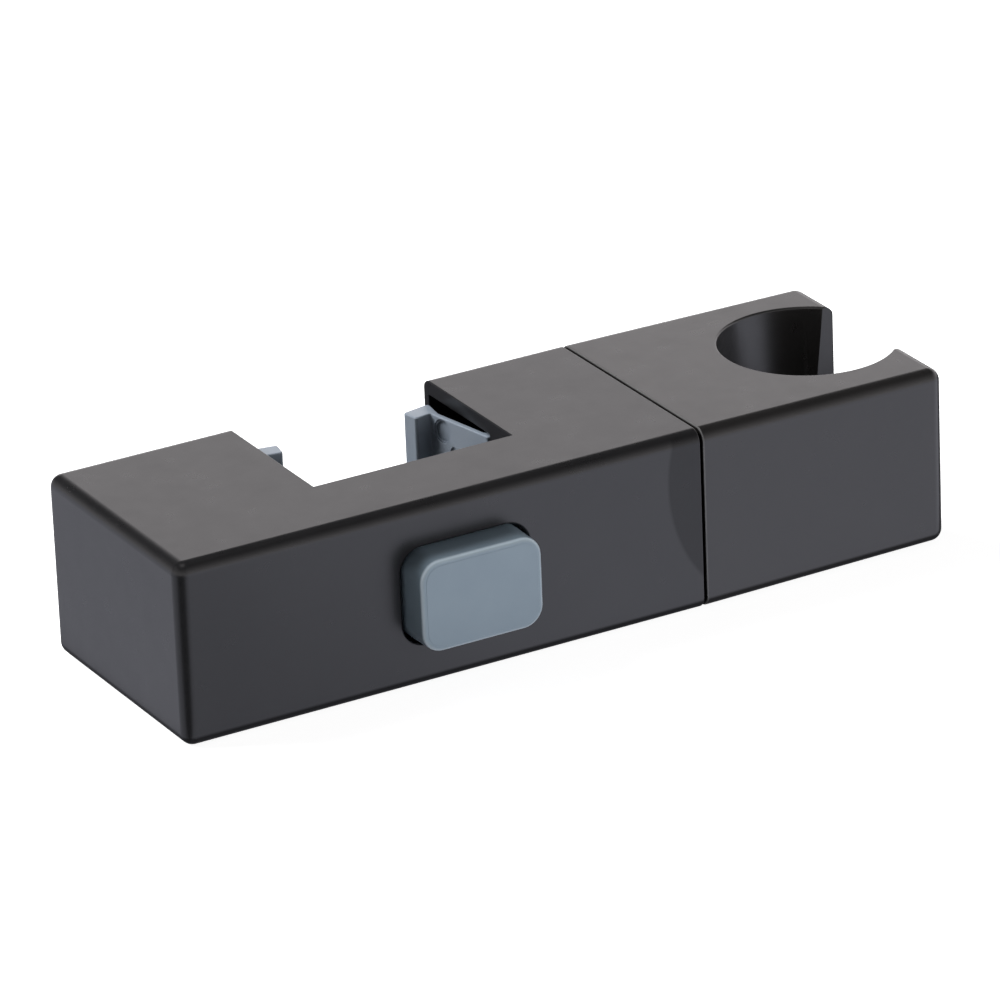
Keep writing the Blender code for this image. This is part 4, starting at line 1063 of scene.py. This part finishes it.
class Chain:
    """Short calls for the nodes of a tree. A value is a number, a tuple or a node's output."""

    def __init__(self, tree):
        self.tree = tree

    def node(self, kind, sockets=(), **settings):
        """A node with its settings and with values for its sockets, by name or number."""
        made = self.tree.nodes.new(kind)
        for name, setting in settings.items():
            setattr(made, name, setting)
        for name, value in dict(sockets).items():
            self.feed(value, made.inputs[name])
        return made

    def feed(self, value, socket):
        if isinstance(value, (int, float, tuple)):
            socket.default_value = value
        else:
            self.tree.links.new(value, socket)

    def axes(self, place):
        """The X, Y and Z of a place or direction."""
        return self.node("ShaderNodeSeparateXYZ", {0: place}).outputs

    def math(self, operation, *values):
        return self.node("ShaderNodeMath", enumerate(values), operation=operation).outputs[0]

    def times(self, first, second):
        return self.math("MULTIPLY", first, second)

    def weighed(self, first, first_weight, second, second_weight):
        """The sum of two values, each multiplied by its weight."""
        return self.math("ADD", self.times(first, first_weight), self.times(second, second_weight))

    def spread(self, value, low, high, from_low=0.3, from_high=0.7, kind="LINEAR"):
        """A value carried from one span to another. The first is where most of a noise lies."""
        names = ("Value", "From Min", "From Max", "To Min", "To Max")
        sockets = zip(names, (value, from_low, from_high, low, high))
        return self.node("ShaderNodeMapRange", sockets, interpolation_type=kind).outputs["Result"]

    def ramp(self, value, start, end, low=0.0, high=1.0):
        """A soft step between two values."""
        return self.spread(value, low, high, start, end, kind="SMOOTHSTEP")

    def mirror_rays(self, path):
        """1 for mirrored and refracted light, and 0 for the rest."""
        return self.math("MAXIMUM", path["Is Glossy Ray"], path["Is Transmission Ray"])


class Finish(Chain):
    """A node material with a Principled shader, whose colour changes slowly between two tones."""

    def __init__(self, name, dark, light, tone_size):
        self.material = bpy.data.materials.new(name)
        self.material.use_nodes = True
        super().__init__(self.material.node_tree)
        self.inputs = self.tree.nodes["Principled BSDF"].inputs
        self.place = self.node("ShaderNodeTexCoord").outputs["Object"]
        tone = self.noise(tone_size, detail=4.0)
        self.colour = self.between(self.spread(tone, 0.0, 1.0), dark, light)
        self.feed(self.colour, self.inputs["Base Color"])

    def noise(self, size, detail=2.0, roughness=0.5, stretch=None):
        """Noise whose features are about as wide as the size, in metres."""
        place = self.place
        if stretch is not None:
            mapping = self.node("ShaderNodeMapping", {"Scale": stretch, "Vector": place})
            place = mapping.outputs["Vector"]
        sockets = {"Scale": 1.0 / size, "Detail": detail, "Roughness": roughness, "Vector": place}
        return self.node("ShaderNodeTexNoise", sockets).outputs["Fac"]

    def between(self, share, first, second):
        """A colour between two colours, which a mixing node takes at its sockets 6 and 7."""
        sockets = {0: share}
        for number, colour in ((6, first), (7, second)):
            sockets[number] = (*colour, 1.0) if isinstance(colour, tuple) else colour
        return self.node("ShaderNodeMix", sockets, data_type="RGBA").outputs[2]

    def bumps(self, *layers):
        """Bump layers, each a value, a depth in metres and a strength."""
        sockets = {}
        for value, depth, strength in layers:
            sockets.update({"Height": value, "Distance": depth, "Strength": strength})
            sockets["Normal"] = self.node("ShaderNodeBump", sockets).outputs["Normal"]
        self.feed(sockets["Normal"], self.inputs["Normal"])


# Finishes

def moulded(name, dark, light, roughness=(0.27, 0.31), grain=0.25, level=0.5):
    """Satin moulded plastic: slow changes of tone and gloss, a fine grain and a faint waviness."""
    finish = Finish(name, dark, light, TONE_SIZE)
    finish.feed(level, finish.inputs["Specular IOR Level"])
    gloss = finish.noise(GLOSS_SIZE, detail=5.0, roughness=0.6)
    finish.feed(finish.spread(gloss, *roughness), finish.inputs["Roughness"])
    fine = finish.noise(GRAIN_SIZE, detail=3.0)
    wave = finish.noise(WAVE_SIZE, detail=1.0)
    finish.bumps((wave, WAVE_DEPTH, WAVE_STRENGTH), (fine, GRAIN_DEPTH, grain))
    return finish


def dull_by_seam(finish):
    """A round duller patch on the clamp's front, cut off by the seam."""
    level = finish.inputs["Specular IOR Level"].default_value
    axes = finish.axes(finish.place)
    flat = finish.node("ShaderNodeCombineXYZ", {"X": axes["X"], "Z": axes["Z"]})
    ends = {0: flat.outputs[0], 1: (X_CLAMP_END + PATCH_OFFSET, 0.0, PATCH_HEIGHT)}
    away = finish.node("ShaderNodeVectorMath", ends, operation="DISTANCE")
    edge = (PATCH_RADIUS, PATCH_RADIUS + PATCH_EDGE)
    outside = finish.spread(away.outputs["Value"], 0.0, 1.0, *edge)
    low = Y_FRONT + EDGE_RADIUS / 4
    behind = finish.spread(axes["Y"], 0.0, 1.0, low, low + PATCH_EDGE)
    clear = finish.math("MAXIMUM", outside, behind)
    dulled = finish.spread(clear, level * PATCH_LEVEL, level, 0.0, 1.0)
    finish.feed(dulled, finish.inputs["Specular IOR Level"])


def painted_highlight_rim(finish, axis, edge, width, highlight_colour):
    """A rim a little paler just inside an edge that faces down an axis: a painted highlight where the
    rounded edge catches light.
    """
    place = finish.axes(finish.place)[axis]
    rising = finish.spread(place, 0.0, 1.0, edge, edge + width / 3)
    falling = finish.spread(place, 1.0, 0.0, edge + width / 2, edge + width)
    share = finish.times(rising, falling)
    finish.feed(finish.between(share, finish.colour, highlight_colour), finish.inputs["Base Color"])


def black_plastic():
    """The clamp's plastic, with the dull patch by the seam."""
    finish = moulded("black_plastic", dark=(0.006, 0.006, 0.0066), light=(0.008, 0.008, 0.0086))
    dull_by_seam(finish)
    return finish.material


def head_plastic():
    """The head's plastic, a little warmer and glossier, with a painted highlight along its edge at the
    seam.
    """
    finish = moulded(
        "head_plastic",
        dark=(0.008, 0.0075, 0.0073),
        light=(0.01, 0.0094, 0.0092),
        level=0.53,
    )
    painted_highlight_rim(finish, "X", X_HEAD, SEAM_RIM, SEAM_HIGHLIGHT_BLACK)
    return finish.material


def grey_plastic():
    """The button's plastic, with a painted highlight round the edge of its face."""
    finish = moulded(
        "grey_plastic",
        dark=(0.18, 0.235, 0.285),
        light=(0.2, 0.26, 0.31),
        roughness=(0.3, 0.38),
        grain=0.3,
        level=0.6,
    )
    painted_highlight_rim(finish, "Y", BUTTON_LOW.y + FIELD_STEP, BUTTON_EDGE, BUTTON_HIGHLIGHT_GREY)
    return finish.material


def jaw_plastic():
    """The jaws' plastic, a little less blue than the button's."""
    return moulded(
        "jaw_plastic",
        dark=(0.18, 0.212, 0.255),
        light=(0.205, 0.238, 0.28),
        roughness=(0.3, 0.38),
        grain=0.3,
        level=0.8,
    ).material


def bearing_plastic():
    """The pale plastic of the bush and the friction washer."""
    return moulded(
        "bearing_plastic",
        dark=(0.66, 0.65, 0.6),
        light=(0.74, 0.73, 0.69),
        roughness=(0.4, 0.5),
        grain=0.4,
    ).material


def drawn_steel():
    """Bright zinc-plated steel with fine drawing lines and a little dullness."""
    finish = Finish("steel", (0.48, 0.48, 0.5), (0.66, 0.66, 0.67), STEEL_TONE_SIZE)
    finish.feed(1.0, finish.inputs["Metallic"])
    gloss = finish.noise(STEEL_GLOSS_SIZE, detail=4.0)
    finish.feed(finish.spread(gloss, 0.24, 0.4), finish.inputs["Roughness"])
    lines = finish.noise(STEEL_LINE_SIZE, stretch=STEEL_LINE_STRETCH)
    finish.bumps((lines, STEEL_LINE_DEPTH, 0.3))
    return finish.material


def paint_frame_nodes(slot, look, *names):
    """A better material for nodes that stay as the frame has them."""
    for name in names:
        paint(frame["nodes"][name], look)


# Studio

def make_camera():
    """The photo's view: azimuth from the front, elevation above the horizon, and a slight roll."""
    camera = bpy.data.objects.new("camera", bpy.data.cameras.new("camera"))
    camera.data.lens = CAMERA_LENS
    camera.data.sensor_width = CAMERA_SENSOR
    camera.data.clip_start, camera.data.clip_end = CAMERA_REACH
    azimuth = radians(CAMERA_AZIMUTH)
    elevation = radians(CAMERA_ELEVATION)
    level = cos(elevation)
    back = Vector((sin(azimuth) * level, -cos(azimuth) * level, sin(elevation)))
    aim = (-back).to_track_quat("-Z", "Y").to_matrix().to_4x4()
    roll = Matrix.Rotation(radians(CAMERA_ROLL), 4, "Z")
    camera.matrix_world = Matrix.Translation(CAMERA_TARGET + back * CAMERA_DISTANCE) @ aim @ roll
    bpy.context.scene.collection.objects.link(camera)
    bpy.context.scene.camera = camera


def floor_glow(chain, place):
    """How bright the floor is to mirrored light: two zones, brighter to the right, and dark else."""
    x, y = place["X"], place["Y"]

    def zone(out, aside):
        """The floor out from one face, fading by direction where it turns the clamp's corner."""
        turn = chain.math("DIVIDE", aside, chain.math("MAXIMUM", out, FLOOR_FOOT))
        return chain.times(chain.ramp(out, 0.0, FLOOR_FOOT), chain.ramp(turn, *FLOOR_TURN))

    left = zone(chain.math("SUBTRACT", X_LEFT, x), chain.math("SUBTRACT", y, Y_FRONT))
    front = zone(chain.math("SUBTRACT", Y_FRONT, y), chain.math("SUBTRACT", x, X_LEFT))
    rise = chain.ramp(x, X_LEFT, X_CLAMP_END, FLOOR_FRONT, FLOOR_RIGHT)
    return chain.math("MAXIMUM", chain.weighed(left, FLOOR_LEFT, front, rise), FLOOR_DARK)


def make_floor():
    """A pale floor that takes the shadow, white to the camera and with its own glow to mirrors."""
    shape = bmesh.new()
    bmesh.ops.create_grid(shape, x_segments=1, y_segments=1, size=FLOOR_SIZE)
    floor = put("floor", shape)
    floor.location.z = -FLOOR_DROP
    look = bpy.data.materials.new("pale_floor")
    look.use_nodes = True
    look.node_tree.nodes.clear()
    chain = Chain(look.node_tree)
    place = chain.axes(chain.node("ShaderNodeTexCoord").outputs["Object"])
    path = chain.node("ShaderNodeLightPath").outputs
    mirror_ray = chain.mirror_rays(path)
    lit = chain.times(chain.math("SUBTRACT", 1.0, mirror_ray), FLOOR_COLOUR)
    surface = chain.node("ShaderNodeBsdfDiffuse", {"Color": lit})
    seen = chain.times(path["Is Camera Ray"], FLOOR_WHITE)
    mirrored = chain.times(mirror_ray, floor_glow(chain, place))
    for strength, tint in ((seen, (1.0, 1.0, 1.0, 1.0)), (mirrored, FLOOR_TINT)):
        glow = chain.node("ShaderNodeEmission", {"Color": tint, "Strength": strength})
        surface = chain.node("ShaderNodeAddShader", {0: surface.outputs[0], 1: glow.outputs[0]})
    chain.node("ShaderNodeOutputMaterial", {"Surface": surface.outputs[0]})
    floor.data.materials.append(look)


def sky_glow(chain, direction):
    """How bright the surroundings are to mirrored light: a low band at the rear right, which level
    tops mirror, a front and a left that darken upwards, and a soft light overhead."""
    x, y, z = direction["X"], direction["Y"], direction["Z"]
    azimuth = radians(CAMERA_AZIMUTH)
    along_view = chain.weighed(x, -sin(azimuth), y, cos(azimuth))
    behind = chain.ramp(along_view, *SKY_BACK)
    low_band = chain.ramp(z, *SKY_BAND_TOP, SKY_BAND - SKY_DARK, 0.0)
    band = chain.math("ADD", chain.times(low_band, chain.ramp(x, *SKY_RIGHT)), SKY_DARK)
    front = chain.spread(z, SKY_FRONT, SKY_DARK, 0.0, SKY_FRONT_TOP)
    around = chain.weighed(band, behind, front, chain.math("SUBTRACT", 1.0, behind))
    falling = chain.ramp(z, 0.0, SKY_LEFT_TOP, SKY_LEFT, 0.0)
    left = chain.times(falling, chain.ramp(x, *SKY_LEFT_END, 1.0, 0.0))
    overhead = chain.ramp(z, *SKY_OVERHEAD)
    return chain.math("MAXIMUM", around, chain.math("MAXIMUM", overhead, left))


def make_sky():
    """Surroundings that are white to the camera, faint to dull surfaces, and glow to mirrors."""
    world = bpy.data.worlds.new("studio")
    bpy.context.scene.world = world
    world.use_nodes = True
    chain = Chain(world.node_tree)
    inputs = world.node_tree.nodes["Background"].inputs
    chain.feed(SKY_TINT, inputs["Color"])
    direction = chain.axes(chain.node("ShaderNodeTexCoord").outputs["Generated"])
    path = chain.node("ShaderNodeLightPath").outputs
    mirrored = chain.times(chain.mirror_rays(path), sky_glow(chain, direction))
    strength = chain.math("MAXIMUM", mirrored, SKY_DIFFUSE)
    chain.feed(chain.math("MAXIMUM", strength, path["Is Camera Ray"]), inputs["Strength"])


def make_lamps():
    """Large soft lights at the front right and the rear left, which satin surfaces don't mirror."""
    for name, place, size, power in KEYS:
        place = Vector(place)
        data = bpy.data.lights.new(name, "AREA")
        data.shape = "SQUARE"
        data.size = size
        data.energy = power
        lamp = bpy.data.objects.new(name, data)
        aim = place.to_track_quat("Z", "Y").to_matrix().to_4x4()
        lamp.matrix_world = Matrix.Translation(place) @ aim
        lamp.visible_glossy = False
        bpy.context.scene.collection.objects.link(lamp)


def main():
    black = black_plastic()
    jaw_look = jaw_plastic()
    steel = drawn_steel()
    make_housing(black)
    make_cover(black)
    make_cover_screws(steel)
    make_button(grey_plastic())
    for word, side in (("left", -1), ("right", 1)):
        make_jaw(word, side, jaw_look)
        make_jaw_spring(word, side, steel)
        paint_frame_nodes("steel", steel, f"{word}_pivot_pin")
    make_head(head_plastic())
    make_swivel_screw(steel)
    paint_frame_nodes("steel", steel, "swivel_spring", "swivel_washer")
    paint_frame_nodes("bearing_plastic", bearing_plastic(), "swivel_bush", "friction_washer")
    make_camera()
    make_floor()
    make_sky()
    make_lamps()
    bpy.context.scene.view_settings.view_transform = "Standard"


main()
